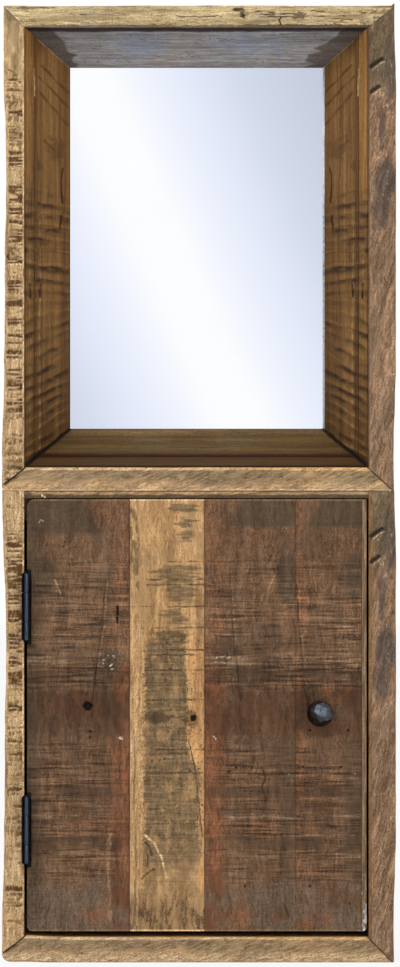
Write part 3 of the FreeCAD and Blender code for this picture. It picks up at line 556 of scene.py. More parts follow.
def lay_board(
    node, material, section, length, steps, place, carve, wobble=0, shape=None, row=ROW, arrises=(0, 1),
    rounding=1, face=0, body="cabinet"
):
    """Saws a blank and turns it into the piece that stands for a node: carve gives depths and masks from
    the place of each point, wobble waves its long edges, and shape may move the finished points."""
    bm = sawn_blank(section, length, row, steps, arrises, rounding)
    mesh = bpy.data.meshes.new(node + "_carved")
    bm.to_mesh(mesh)
    bm.free()
    flat = np.empty(len(mesh.vertices) * 3)
    mesh.vertices.foreach_get("co", flat)
    u, v, w = flat.reshape(-1, 3).T.copy()
    t = v / v.max()
    start, end = section[face], section[(face + 1) % len(section)]
    du, dw = end[0] - start[0], end[1] - start[1]
    length = math.hypot(du, dw)
    into = (-dw / length, du / length)
    front = np.clip(1 - face_distance(u, w, start, end) / FADE, 0, 1)
    x, y, z = place(u, t, w)
    depth, masks = carve(x, z, u)
    u = u + into[0] * depth * front
    w = w + into[1] * depth * front
    if wobble:
        span = max(point[0] for point in section)
        wave = (layered(v / WAVES[0], v * 0 + 0.5, len(node)) - 0.5) * 2 * wobble
        other = (layered(v / WAVES[1], v * 0 + 7.5, len(node) + 3) - 0.5) * 2 * wobble
        u = u + wave * ramp(u, span * 0.5, 0) + other * 0.4 * ramp(u, span * 0.5, span)
    x, y, z = place(u, t, w)
    if shape:
        x, y, z = shape(x, y, z)
    mesh.vertices.foreach_set("co", (np.stack([x, y, z], 1) / MM).ravel())
    for name, mask in masks.items():
        values = np.clip(mask * front, 0, 1).astype(np.float32)
        mesh.attributes.new(name, "FLOAT", "POINT").data.foreach_set("value", values)
    tidy = bmesh.new()
    tidy.from_mesh(mesh)
    bmesh.ops.recalc_face_normals(tidy, faces=tidy.faces[:])
    tidy.to_mesh(mesh)
    tidy.free()
    smooth_but_for_edges(mesh, BOARD_CREASE)
    mesh.materials.append(material)
    add_piece(mesh, node, body)


print("points every", ROW, "mm")

# %% [markdown]
# The timber finish is one recipe with many settings. Fine fibres are noise stretched along the board and
# bent by a slow swirl; a broader figure shifts their tone, short dark pores and tiny specks break both up,
# and large clouds turn the wood grey where it has weathered. Then come the masks, for stains and for painted
# light and shade: each is frayed by the fibres and mixes in its colour. Last, all fine noises shade the
# whole, masks too, so that the grain stays visible through them; saw lines cross it, and a soft darker tone
# lies over it where the mesh says so: a stain on most boards, painted shade on the right liner.

# %% Mix the timber finish
STAINS_AND_SHADES = ("grey", "red", "dark", "ash", "gold", "pale", "open")
# painted shade: the near-black of the shade inside cracks, holes and gaps
OPEN_SHADE = (20, 15, 12)  # the inside of cracks and holes


def along_board(along, run):
    """Stretches noise along a board: run is how much slower it changes that way."""
    return (1, 1, run) if along == "z" else (run, 1, 1)


def timber(
    name, along, tones, stains, fibre=1.5, run=0.045, curl=2, fine=1.5, grit=1.2, fray=1, saw=0,
    wash=0, weather=0.3, turn=0, seed=0
):
    """A weathered timber: three tones from light to dark, and a colour for each mask of stains and painted
    shade.
    """
    light, middle, dark = (tone(*part) for part in tones)
    wood = Finish(bpy.data.materials.new(name))
    place = wood.add("ShaderNodeTexCoord", out="Object")
    turned = wood.add(
        "ShaderNodeVectorRotate",
        {"rotation_type": "AXIS_ANGLE"},
        {"Vector": place, "Axis": (0, 1, 0), "Angle": math.radians(turn)},
    )
    moved = wood.vector("ADD", wood.vector("SCALE", turned, MM / fibre), (seed, seed, seed))
    swirl = wood.add("ShaderNodeTexNoise", None, {"Vector": moved, "Scale": 0.09, "Detail": 2}, out="Color")
    swirl = wood.vector("SCALE", wood.vector("SUBTRACT", swirl, (0.5, 0.5, 0.5)), curl)
    stretch = wood.vector("MULTIPLY", wood.vector("ADD", moved, swirl), along_board(along, run))
    fibres = wood.noise(stretch, detail=4, roughness=0.65, distortion=0.3)
    figure = wood.noise(wood.vector("SCALE", stretch, 0.21), detail=3, roughness=0.6, distortion=0.8)
    specks = wood.noise(wood.vector("SCALE", moved, 1.2), detail=2, roughness=0.7)
    pores = wood.noise(wood.vector("MULTIPLY", moved, along_board(along, 0.14)), detail=1)
    pores = pores.stretched(0.6, 0.72)
    clouds = wood.noise(wood.vector("SCALE", moved, fibre / 22), detail=4, roughness=0.6)
    value = (fibres - 0.5) * 1.2 + (figure - 0.5) * 1.3 + (specks - 0.5) * 0.4 + 0.5
    colour = wood.add(
        "ShaderNodeValToRGB",
        {"stops": [(0.15, dark), (0.5, middle), (0.85, light)]},
        {0: value},
    )
    ashen = tuple(0.5 * (sum(middle[:3]) / 3) + 0.42 * part for part in middle[:3]) + (1,)
    colour = wood.mix(colour, ashen, clouds.stretched(0.45, 0.7) * weather)
    tint = value * 0.6 + 0.7
    frayed = ((fibres - 0.5) * 1.7 + (specks - 0.5) * 1.9) * fray
    shade = (fibres - 0.5) * fine + (specks - 0.5) * grit + (figure - 0.5) * 0.5 + (1 - pores * 0.2)
    if saw:
        level = wood.vector("MULTIPLY", wood.vector("SCALE", place, MM), (0.028, 0.2, 0.52))
        level = wood.vector("ADD", level, (seed, seed, seed))
        saws = wood.noise(level, detail=3, roughness=0.7).stretched(0.28, 0.72) - 0.5
        sawn = wood.attribute("sawn")
        frayed = frayed + saws * sawn
        shade = shade + saws * sawn * saw
    # the mask darkens the wood: a stain on most boards, painted shade on the right liner
    if wash:
        shade = shade - wood.attribute("wash") * wash
    # every finish mixes in the painted shade of cracks, holes and gaps, near-black unless it gives its own
    # colour
    for mask in STAINS_AND_SHADES:
        if mask != "open" and mask not in stains:
            continue
        amount = wood.attribute(mask)
        loose = 0.4 if mask in ("pale", "open") else 1
        cover = (amount * 1.2 + frayed * amount.stretched(0, 0.3) * loose).stretched(0.2, 0.98)
        stain = wood.vector("SCALE", tone(*stains.get(mask, OPEN_SHADE))[:3], tint)
        colour = wood.mix(colour, stain, cover * 0.95)
    colour = wood.vector("SCALE", colour, shade.math("MAXIMUM", shade, 0.3))
    height = fibres * 0.7 + specks * 0.5 - pores * 0.3
    bump = wood.add("ShaderNodeBump", None, {"Strength": 0.45, "Distance": 0.0006, "Height": height})
    shader = wood.add(
        "ShaderNodeBsdfPrincipled",
        None,
        {"Base Color": colour, "Roughness": 0.62 + fibres * 0.25, "Specular IOR Level": 0.18, "Normal": bump},
    )
    wood.add("ShaderNodeOutputMaterial", None, {"Surface": shader})
    return wood.owner


print("stain masks:", STAINS_AND_SHADES)

# %% [markdown]
# The left boards are the roughest: a coarse saw tore their front edges into bands of dark teeth, with
# rows of light wood left standing between them, and a painted highlight runs just below each band, where
# its lower wall faces the light from above. Noise that changes quickly along the board gives the
# rows, noise that changes quickly across it the teeth; slow noise decides where they bite.


# %% Tear saw bands
def torn_bands(x, z, share, seed):
    """Dark combs that a coarse saw tore across a board; share says how much of the face they take."""
    sway = z + 0.7 * shake(x, z, 6, 9, seed) + 0.5 * shake(x, z, 1.1, 3, seed + 2)
    rows = ramp(mottle(sway / 1.15, x / 9, seed + 1), 0.3, 0.6)
    teeth = speck(x, z, 0.9, 2.4, seed + 4, 0.2, 0.6)
    slow = mottle(sway / 4.2, x / 60, seed + 5)
    cover = ramp(slow + share, 0.98, 1.22)
    faint = ramp(slow + share, 0.7, 0.95) * rows * teeth * 0.6
    return strongest(cover * (0.3 + 0.7 * rows * (0.45 + 0.55 * teeth)), faint)


LEFT_LOW, LEFT_HIGH = node_box("upper_left_board")
RIGHT_LOW, RIGHT_HIGH = node_box("upper_right_board")
TOP_LOW, TOP_HIGH = node_box("upper_top_board")
MIDDLE_LOW, MIDDLE_HIGH = node_box("upper_bottom_board")
BOARD_DEPTH = LEFT_HIGH[1] - FACE_Y
LEFT_WIDTH = LEFT_HIGH[0] - LEFT_LOW[0]
RIGHT_WIDTH = RIGHT_HIGH[0] - RIGHT_LOW[0]
TOP_WIDTH = TOP_HIGH[2] - TOP_LOW[2]
MIDDLE_WIDTH = MIDDLE_HIGH[2] - MIDDLE_LOW[2]
SIDE_STEP = 5  # spacing of points over the sides of the boards
UPPER_STEPS = {0: ROW, 3: SIDE_STEP}
LOWER_DROP = 361.3  # how far the marks of the upper boards are repeated below
MITRE_DROP = 13.2  # how far the lower left mitres fall across the boards
MITRE_BLEND = -118


def torn_face(x, z, u, share, seed):
    """Torn bands that leave the outer arris and the inner edge of a board standing."""
    kept = ramp(u + 2 * (mottle(z / 3, u * 0, seed + 6) - 0.5), 1.2, 2.8) * (1 - ramp(u, 13.4, 14.3))
    torn = torn_bands(x, z, share, seed) * kept
    # the pale rows are the same bands read 1.5 mm higher, so they lie just below each tear: partly standing
    # wood, partly a painted highlight on the tear's lower wall
    bright = torn_bands(x, z + 1.5, share, seed) * kept * (1 - torn)
    return torn, bright


def plank_run(z):
    """How far down its plank a point lies: the lower boards repeat the upper ones."""
    return TOP_HIGH[2] - np.where(z < MIDDLE_LOW[2] - 2, z + LOWER_DROP, z)


def worn_edge(x, z):
    """How far the outer edges of the side boards lie off their line: the left one is hollow below its
    top and swells at its foot, the right one draws in there."""
    run = plank_run(z)
    hollow = 1.8 * ramp(run, 55, 110) - 0.8 * ramp(run, 130, 210) - 0.8 * ramp(run, 235, 300)
    hollow = hollow - 1.5 * ramp(run, 300, 345) - 0.6
    hollow = hollow - np.where(z < MIDDLE_LOW[2] - 2, 1.1, 0) * ramp(run, 70, 17)
    bulge = 1.2 * ramp(run, 14, 50) - 1.7 * ramp(run, 265, 345) + 0.5 * ramp(run, 345, 373) - 0.3
    return hollow * ramp(x, LEFT_HIGH[0] - 4, LEFT_LOW[0]) + bulge * ramp(x, 140, RIGHT_HIGH[0])


def worn_sides(x, y, z):
    return x + worn_edge(x, z), y, z


def cut_back(x, down):
    """The left end of a level board: its mitre is flatter than the corner, so its lower part ends square."""
    mitre = LEFT_HIGH[0] - down * LEFT_WIDTH / MITRE_DROP
    start = np.maximum(mitre, LEFT_LOW[0])
    share = (x - mitre) / (MITRE_BLEND - mitre)
    return np.where(x < MITRE_BLEND, start + share * (MITRE_BLEND - start), x)


print("widths, left, right, top, middle:", LEFT_WIDTH, RIGHT_WIDTH, TOP_WIDTH, MIDDLE_WIDTH)

# %% [markdown]
# On the upper left board the top is still whole, golden and dry, with a grey corner; the teeth begin a
# hand's breadth below it and take over from there on.


# %% Upper left board
def carve_upper_left(x, z, u):
    share = 0.04 + 0.6 * ramp(z, 6, -30) - 0.08 * ramp(z, -230, -310)
    torn, bright = torn_face(x, z, u, share, 3)
    torn = torn * ramp(z + 1.6 * (u - 8), 8, -6)
    corner = patch(x, z, (-145.5, 41), (4.5, 6.5), 5)
    tick = line(x, z, [(-146.5, -0.5), (-143.5, -1.5)], 1.6)
    whole = ramp(z, -12, 8)
    inner_edge = ramp(u, 13.4, 14.6) * (0.3 + 0.7 * ramp(mottle(z / 1.6, u * 0, 14), 0.3, 0.6))
    mitre = line(x, z, [(-150, 49), (-135, 33)], 2.2)
    depth = 0.9 * torn + 0.25 * layered(x / 3, z / 6, 8) - 0.2 * bright
    masks = {
        "dark": strongest(torn, tick * 0.8, mitre * 0.55),
        "grey": strongest(corner * 0.75, whole * cloud(x, z, 5, 16, 16, 0.25, 0.55) * 0.5),
        "pale": strongest(bright * 0.6, inner_edge * 0.65),
    }
    return depth, masks


torn_timber = timber(
    "torn_tan_timber", "z",
    ((220, 185, 138), (196, 162, 117), (163, 128, 86)),
    {"dark": (84, 53, 23), "grey": (124, 108, 80), "pale": (236, 206, 164)},
    run=0.09, curl=4, grit=1.7, fray=0.75, weather=0.15,
)
lay_board(
    "upper_left_board", torn_timber,
    plain_section(LEFT_WIDTH, BOARD_DEPTH),
    LEFT_HIGH[2] - LEFT_LOW[2],
    UPPER_STEPS,
    standing(LEFT_LOW[0], 1, MIDDLE_HIGH[2] - MITRE_DROP, LEFT_HIGH[2], LEFT_WIDTH, MITRE_DROP, TOP_WIDTH),
    carve_upper_left, 0.7, worn_sides,
)

# %% [markdown]
# The lower left board carries on the same torn plank: the same saw marks start again a little below its
# top, closer and dirtier. Its foot is worn round where the cabinet has stood on the floor. Points beyond
# that rounding are drawn back onto it.

# %% Lower left board
LOWER_LEFT_LOW, LOWER_LEFT_HIGH = node_box("lower_left_board")
LOWER_RIGHT_HIGH = node_box("lower_right_board")[1]
BOTTOM_LOW, BOTTOM_HIGH = node_box("lower_bottom_board")
BOTTOM_WIDTH = BOTTOM_HIGH[2] - BOTTOM_LOW[2]
WORN_CORNER = 6
TIP_ROUNDING = 3
RIGHT_CORNER = 2
RABBET_WIDTH = 8
RABBET_DEPTH = 6


def rounded(x, z, middle_x, middle_z, radius, to_left, to_top):
    """Draws the points outside a rounded corner onto it."""
    dx, dz = x - middle_x, z - middle_z
    outside = (dx * to_left < 0) & (dz * to_top > 0) & (np.hypot(dx, dz) > radius)
    scale = np.where(outside, radius / np.maximum(np.hypot(dx, dz), 0.001), 1)
    return middle_x + dx * scale, middle_z + dz * scale


def worn_foot(x, y, z):
    x, z = rounded(x, z, LOWER_LEFT_LOW[0] + WORN_CORNER, BOTTOM_LOW[2] + WORN_CORNER, WORN_CORNER, 1, -1)
    x, z = rounded(x, z, RIGHT_HIGH[0] - RIGHT_CORNER, BOTTOM_LOW[2] + RIGHT_CORNER, RIGHT_CORNER, -1, -1)
    sag = 1.1 * ramp(x, -136, -100) * ramp(z, -652, -664)
    return x + worn_edge(x, z), y, z - sag


def rabbeted_section(width):
    """A lower board's section, stepped at the back for the panel."""
    depth = BOARD_DEPTH
    return [
        (0, 0), (width, 0), (width, depth - RABBET_DEPTH), (width - RABBET_WIDTH, depth - RABBET_DEPTH),
        (width - RABBET_WIDTH, depth), (0, depth),
    ]


LOWER_STEPS = {0: ROW, 5: SIDE_STEP}


def carve_lower_left(x, z, u):
    close = ramp(z, -352, -366) * ramp(z, -492, -462)
    share = 0.05 + 0.55 * ramp(z, -345, -366) + 0.25 * close - 0.24 * ramp(z, -520, -590)
    torn, bright = torn_face(x, z, u, share, 17)
    inner_edge = ramp(u, 13, 14.4) * (0.3 + 0.7 * ramp(mottle(z / 1.6, u * 0, 15), 0.3, 0.6))
    tick = line(x, z, [(-147, -362), (-143, -361)], 1.6)
    dot = spots(x, z, [(-143.5, -676.5)], 2.2)
    depth = 0.9 * torn + 0.25 * layered(x / 3, z / 6, 9) - 0.2 * bright
    masks = {
        "dark": strongest(torn, tick * 0.8, dot * 0.7),
        "pale": strongest(bright * 0.6, inner_edge * 0.65),
    }
    return depth, masks


lay_board(
    "lower_left_board", torn_timber,
    rabbeted_section(LEFT_WIDTH),
    LOWER_LEFT_HIGH[2] - LOWER_LEFT_LOW[2],
    LOWER_STEPS,
    standing(LOWER_LEFT_LOW[0], 1, BOTTOM_HIGH[2] - MITRE_DROP, LOWER_LEFT_HIGH[2], LEFT_WIDTH, MITRE_DROP),
    carve_lower_left, 0.6, worn_foot,
)

# %% [markdown]
# The right boards are smoother, with short curly grain. At the top they are grey with two slanted chips;
# a charcoal scar runs down them and the wood turns reddish below. Both come from one plank, so one
# description serves both, shifted down.


# %% Right boards
def carve_right(x, z, u):
    """The marks of a right-hand board, measured on the upper one."""
    chips = strongest(
        line(x, z, [(132, 2.4), (140.5, 8.6)], 3.8), line(x, z, [(132, -16.8), (138, -12.8)], 4),
    )
    hatch = mottle((x + 0.9 * z) / 1.8, (z - 0.9 * x) / 14, 32)
    scar = strongest(
        patch(x, z, (145.8, 0), (4.4, 30), 41, 0.5) * 0.85,
        patch(x, z, (140.3, -44), (3.2, 21), 42, 0.6) * 0.85,
        patch(x, z, (142.6, -84), (7.8, 19), 43, 0.3),
        patch(x, z, (139.4, -108), (8, 15.5), 44, 0.3),
    )
    scar = scar * (0.72 + 0.28 * ramp(hatch, 0.2, 0.55))
    peak = patch(x, z, (138.3, -66), (4.6, 7.5), 45, 0.4)
    top_grey = ramp(z, -26, 4) * cloud(x, z, 5, 16, 33, 0.2, 0.5)
    top_grey = strongest(top_grey, patch(x, z, (139.5, 2), (5, 15), 31))
    flame = strongest(
        line(x, z, [(148, -16), (145.5, -36), (147.5, -62)], 4),
        line(x, z, [(135, -28), (134, -52)], 4),
        line(x, z, [(140, -52), (136.5, -62), (134.5, -84)], 4),
        line(x, z, [(142, -60), (144.5, -46), (147.8, -28)], 3.4),
        cloud(x, z, 4, 22, 34, 0.55, 0.75) * ramp(z, -110, -140),
        peak * 1.2,
    )
    under_chips = strongest(
        line(x, z, [(133, 0.2), (141.5, 6.2)], 1.6), line(x, z, [(133, -19.4), (138.8, -15)], 1.6),
    )
    hairs = ridges(layered((x + 0.45 * z) / 2.6, (z - 0.4 * x) / 9, 35), 0.1)
    hairs = hairs * speck(x, z, 3, 6, 36, 0.45, 0.85) * 0.85
    grain = ramp(layered((x + 2.5 * np.sin(z / 23)) / 2.4, z / 16, 38), 0.5, 0.72)
    olive = cloud(x, z, 5, 45, 37, 0.5, 0.68) * ramp(z, -150, -185)
    outer_edge = 1 - ramp(u, 0.3, 1.4)
    inner_edge = ramp(u, 18.6, 19.6)
    mitre = line(x, z, [(150, 49), (130, 33)], 2)
    depth = 1.2 * chips + 0.4 * scar + 0.3 * layered(x / 2, z / 5, 39) + 0.2 * grain - 0.2 * hairs
    masks = {
        "dark": strongest(scar * 0.9, mitre * 0.7, outer_edge * 0.3, inner_edge * 0.6),
        "grey": strongest(top_grey, grain * 0.45, olive * 0.4),
        "red": flame * 0.4,
        "pale": strongest(
            under_chips * 0.5, hairs * 0.6,
            strongest(peak, 0.5 * scar) * ramp(hatch, 0.66, 0.84) * 0.4,
        ),
        # painted shade inside the chips
        "open": chips * 0.75,
    }
    return depth, masks


def carve_lower_right(x, z, u):
    depth, masks = carve_right(x, z + LOWER_DROP, u)
    masks["grey"] = masks["grey"] * (1 - 0.6 * ramp(z, -480, -540))
    masks["pale"] = strongest(masks["pale"], 0.08 * ramp(z, -480, -540))
    masks["gold"] = ramp(u + 1.2 * (layered(x, z / 9, 40) - 0.5), 16.6, 17.8) * 0.8
    return depth, masks


def raised_tip(x, y, z):
    """The outer corner of the upper right board stands a little above its neighbour."""
    return x + worn_edge(x, z), y, z + 2 * ramp(x, 138, 149) * ramp(z, 38, 48)


scarred_timber = timber(
    "scarred_brown_timber", "z",
    ((172, 137, 107), (144, 112, 84), (112, 85, 61)),
    {
        "dark": (94, 79, 69), "gold": (134, 99, 60), "grey": (110, 93, 70), "red": (152, 117, 90),
        "pale": (206, 178, 146),
    },
    fibre=1.2, run=0.09, curl=5, fine=1.8, grit=1.6, turn=-14, seed=11,
)
lay_board(
    "upper_right_board", scarred_timber,
    plain_section(RIGHT_WIDTH, BOARD_DEPTH),
    RIGHT_HIGH[2] - RIGHT_LOW[2],
    UPPER_STEPS,
    standing(RIGHT_HIGH[0], -1, RIGHT_LOW[2], RIGHT_HIGH[2], RIGHT_WIDTH, MIDDLE_WIDTH, TOP_WIDTH),
    carve_right, 0.6, raised_tip,
)
lay_board(
    "lower_right_board", scarred_timber,
    rabbeted_section(RIGHT_WIDTH),
    LOWER_RIGHT_HIGH[2] - BOTTOM_LOW[2],
    LOWER_STEPS,
    standing(RIGHT_HIGH[0], -1, BOTTOM_LOW[2], LOWER_RIGHT_HIGH[2], RIGHT_WIDTH, BOTTOM_WIDTH),
    carve_lower_right, 0.6, worn_foot,
)

# %% [markdown]
# The top board is the palest, yellow and dry, with black chips and hair cracks on its right half and a
# ragged lower edge there, carved a little and painted dark as the shade where it steps down to the top liner.


# %% Top board
def carve_top(x, z, u):
    right_half = ramp(x, 10, 50)
    chips = strongest(
        patch(x, z, (29.5, 46.2), (4.4, 1.4), 46, 0.5),
        patch(x, z, (33.4, 42), (3.4, 3.2), 47, 0.8),
        patch(x, z, (77, 41.6), (4.8, 3.4), 48, 1.1) * 0.75,
    )
    cracks = lines(
        x, z,
        [
            ([(36, 43.6), (47, 44.6), (58, 43.9)], 1.6), ([(42, 42), (60, 42.6), (73, 43.2)], 1.4),
            ([(46, 40), (57, 40.9), (70, 40.4)], 1.3), ([(62.8, 40.6), (60.9, 38.2), (62.6, 35)], 1.6),
            ([(84, 41.5), (96, 40.6), (112, 41.4)], 0.8), ([(86, 45), (101, 44.2)], 0.8),
            ([(96, 38.5), (106, 39.3), (118, 38.4)], 0.8), ([(-20, 41), (2, 40.4), (18, 41.2)], 0.7),
            ([(-92, 42.5), (-74, 42)], 0.7),
        ],
    )
    cracks = cracks * (0.5 + 0.5 * speck(x, z, 5, 3, 50, 0.25, 0.6))
    # painted shade: the ragged lower edge, carved a little, is painted dark where the board steps down to the
    # top liner
    edge = ramp(u + 2.2 * stray(x, z, 4, 4, 53) + 0.4 * right_half, 14.5, 15.2)
    top_line = line(x, z, [(-140, 47.4), (-128, 47.5), (-112, 47.9)], 1.4)
    fine_lines = ridges(layered(x / 16, z / 1.5, 54), 0.14) * speck(x, z, 7, 3, 58, 0.45, 0.75)
    flecks = speck(x, z, 1.7, 1, 55, 0.84, 0.95) * (0.5 + 0.5 * right_half)
    left_edge = x + 150 - (49 - z) * LEFT_WIDTH / TOP_WIDTH
    right_edge = 150 - x - (49 - z) * RIGHT_WIDTH / TOP_WIDTH
    burnt = (1 - ramp(right_edge, 2, 12)) * cloud(x, z, 3, 2, 56, 0.45, 0.7)
    depth = chips + 0.9 * cracks + 0.35 * layered(x / 8, z / 2, 57) + 0.6 * edge
    masks = {
        "dark": strongest(
            edge * (0.6 + 0.3 * right_half), top_line * 0.7, flecks * 0.6,
            fine_lines * (0.6 + 0.2 * right_half), burnt * 0.6,
        ),
        "grey": cloud(x, z, 40, 5, 59, 0.5, 0.75) * (0.35 + 0.35 * right_half),
        "pale": (1 - ramp(left_edge, 0.3, 1.3)) * 0.8,
        # painted shade inside the chips and cracks
        "open": strongest(chips * 0.8, cracks * 0.8),
    }
    return depth, masks


dry_timber = timber(
    "dry_yellow_timber", "x",
    ((218, 194, 148), (196, 172, 128), (168, 143, 100)),
    {"dark": (84, 64, 42), "grey": (150, 128, 92), "pale": (232, 212, 176)},
    fibre=1.2, run=0.07, curl=3, grit=1.6, seed=23,
)
lay_board(
    "upper_top_board", dry_timber,
    plain_section(TOP_WIDTH, BOARD_DEPTH),
    TOP_HIGH[0] - TOP_LOW[0], UPPER_STEPS,
    lying(TOP_HIGH[2], -1, TOP_LOW[0], TOP_HIGH[0], TOP_WIDTH, LEFT_WIDTH, RIGHT_WIDTH),
    carve_top, 0.45, worn_sides,
)

# %% [markdown]
# The middle and the bottom board are one plank too: an orange upper arris, a grey band whose grain runs
# up to the right, and clean tan wood below it. A black line marks the mitre at their left end.


# %% Middle and bottom boards
def carve_rail(x, down, width, foot_dark):
    """Marks of a level board from the distance below its upper edge."""
    across = down + 10 * np.logaddexp(0, (x + 50) / 20)
    lift = 1 + 1.3 * ramp(x, -20, 110)
    arris = 1 - ramp(down + 0.6 * (layered(x / 9, down, 61) - 0.5), lift * 0.7, lift * 1.3)
    gold = patch(x, -down, (92, -9), (16, 8), 60)
    shaded = patch(x, -down, (28, -8), (36, 9), 70) * 0.6
    low_edge = 11 + 5 * (layered(x / 20, down / 9, 62) - 0.5)
    grey_zone = ramp(down, 1.2, 2.6) * (1 - ramp(down, low_edge - 3.5, low_edge + 3.5)) * (1 - 0.7 * gold)
    grain = ramp(layered(across / 1.5, x / 17, 63), 0.3, 0.6)
    dark_grain = ridges(layered(across / 1.8, x / 14, 64), 0.16) * (0.4 + 0.6 * ramp(x, -130, -20))
    right_patch = patch(x, -down, (122, -8.5), (17, 6.5), 65)
    left_edge = x - LEFT_HIGH[0] + down * LEFT_WIDTH / MITRE_DROP
    right_edge = 150 - x - (width - down) * RIGHT_WIDTH / width
    black = 1 - ramp(left_edge + (mottle(x / 2, down / 2, 66) - 0.5), 1.2, 2.2)
    black = black * (1 - ramp(down, MITRE_DROP - 1, MITRE_DROP + 1.5))
    bare = (1 - ramp(left_edge, 4, 7)) * ramp(down, 5, 8) * (1 - ramp(down, 13, 15))
    bare = bare * ramp(mottle(left_edge / 1.3, down / 5, 67), 0.3, 0.6)
    foot = ramp(down, width - 2, width - 0.6)
    crest = (
        ramp(down, 0.2, 0.8)
        * (1 - ramp(down + 0.8 * (layered(x / 9, down, 72) - 0.5), 1.8, 2.6)) * ramp(x, 70, 0)
    )
    dark_end = 1 - ramp(right_edge + 1.2 * (layered(x / 3, down / 3, 73) - 0.5), 1.3, 2.6)
    depth = 0.3 * layered(x / 5, down / 2.5, 68) + 0.35 * dark_grain * grey_zone + 0.4 * bare
    masks = {
        "dark": strongest(
            bare * 0.8,
            dark_grain * strongest(grey_zone, 0.35 * shaded) * 0.7,
            foot * foot_dark,
        ),
        "grey": strongest(grey_zone * (0.5 + 0.5 * grain), right_patch * 0.75, shaded) * (1 - arris),
        "red": strongest(arris, 0.15 * ramp(layered(x / 22, down / 4, 69), 0.5, 0.7) * (1 - grey_zone)),
        "pale": strongest(foot * (0.7 - 0.7 * foot_dark), crest * 0.6),
        # painted shade in the mitre joints at both ends
        "open": strongest(black * 0.9, dark_end * 0.7),
    }
    return depth, masks


def carve_middle(x, z, u):
    return carve_rail(x, MIDDLE_WIDTH - u, MIDDLE_WIDTH, 0)


def carve_bottom(x, z, u):
    depth, masks = carve_rail(x, BOTTOM_WIDTH - u, BOTTOM_WIDTH, 0.45)
    # painted light: the whole board is painted a little lighter, and more near its lower edge, to make up for
    # the light falling off low down
    masks["pale"] = strongest(masks["pale"], 0.17 + 0.3 * ramp(u, 10, 4) * ramp(u, 0.6, 2))
    return depth, masks


def worn_middle(x, y, z):
    x = cut_back(x, MIDDLE_HIGH[2] - z)
    x, z = rounded(x, z, LEFT_LOW[0] + TIP_ROUNDING, MIDDLE_LOW[2] + TIP_ROUNDING, TIP_ROUNDING, 1, -1)
    return worn_sides(x, y, z)


def worn_bottom(x, y, z):
    return worn_foot(cut_back(x, BOTTOM_HIGH[2] - z), y, z)


rail_timber = timber(
    "grey_tan_timber", "x",
    ((208, 171, 126), (184, 148, 106), (154, 120, 82)),
    {"dark": (74, 58, 40), "grey": (146, 124, 92), "red": (220, 172, 116), "pale": (224, 196, 156)},
    fibre=1.1, run=0.11, curl=5, fine=1.6, grit=1.5, turn=15, seed=37,
)
MIDDLE_SECTION = plain_section(MIDDLE_WIDTH, BOARD_DEPTH)
BOTTOM_SECTION = rabbeted_section(BOTTOM_WIDTH)
for node, z_low, section, steps, carve, shape in (
    ("upper_bottom_board", MIDDLE_LOW[2], MIDDLE_SECTION, UPPER_STEPS, carve_middle, worn_middle),
    ("lower_bottom_board", BOTTOM_LOW[2], BOTTOM_SECTION, LOWER_STEPS, carve_bottom, worn_bottom),
):
    width = section[1][0]
    run = width * LEFT_WIDTH / MITRE_DROP
    place = lying(z_low, 1, LEFT_HIGH[0] - run, RIGHT_HIGH[0], width, run, RIGHT_WIDTH)
    lay_board(node, rail_timber, section, RIGHT_HIGH[0] - LEFT_LOW[0], steps, place, carve, 0.4, shape)

# %% [markdown]
# The liner boards lean in from the front edges to the glass. Each has an old groove along it, which is
# part of its section, so the groove is real and casts its own shade. Only the two strips beside it get
# the fine skin.

# %% Liner section
LINER_LEFT_LOW, LINER_LEFT_HIGH = node_box("liner_left")
LINER_RIGHT_HIGH = node_box("liner_right")[1]
LINER_TOP_LOW, LINER_TOP_HIGH = node_box("liner_top")
LINER_BOTTOM_LOW = node_box("liner_bottom")[0]
SIDE_REVEAL = LINER_LEFT_HIGH[0] - LINER_LEFT_LOW[0]
END_REVEAL = LINER_TOP_HIGH[2] - LINER_TOP_LOW[2]
LINER_FRONT = LINER_LEFT_LOW[1] - FACE_Y  # depths are counted from the face of the boards
GLASS_FACE = node_box("mirror_glass")[0][1] - FACE_Y
BACKING_FACE = LINER_LEFT_HIGH[1] - FACE_Y
FRONT_LAND = 1.5
GLASS_REBATE = 8.4
REAR_LAND = 7
LINER_SEAT = 32
GROOVE_WIDTH = 1.6
GROOVE_DEPTH = 2


def liner_section(reveal, groove_run):
    """The section of a splayed liner as (run in from the board, depth) points."""
    share = reveal / SIDE_REVEAL
    land = FRONT_LAND * share
    rebate = GLASS_REBATE * share
    length = math.hypot(reveal - land, GLASS_FACE - LINER_FRONT)
    slope = ((reveal - land) / length, (GLASS_FACE - LINER_FRONT) / length)
    middle = (groove_run - land) / slope[0]
    lips = []
    for along in (middle - GROOVE_WIDTH / 2, middle + GROOVE_WIDTH / 2):
        lips.append((land + slope[0] * along, LINER_FRONT + slope[1] * along))
    bed = [(run - slope[1] * GROOVE_DEPTH, depth + slope[0] * GROOVE_DEPTH) for run, depth in lips]
    return [
        (0, LINER_FRONT), (land, LINER_FRONT), lips[0], bed[0], bed[1], lips[1], (reveal, GLASS_FACE),
        (reveal - rebate, GLASS_FACE), (reveal - rebate, BACKING_FACE),
        (reveal - rebate - REAR_LAND * share, BACKING_FACE), (0, LINER_FRONT + LINER_SEAT),
    ]


LINER_ROW = 0.8
LINER_STEPS = {1: LINER_ROW, 5: LINER_ROW}
WIDE_STRIP = 5  # the section edge of the wide strip


def lay_liner(node, material, section, length, place, carve):
    """Lays a liner board, with a fine skin on the strips beside its groove."""
    lay_board(
        node, material, section, length, LINER_STEPS, place, carve, row=LINER_ROW, arrises=(), rounding=0,
        face=WIDE_STRIP,
    )


print("liner reveals:", round(SIDE_REVEAL, 1), round(END_REVEAL, 1))

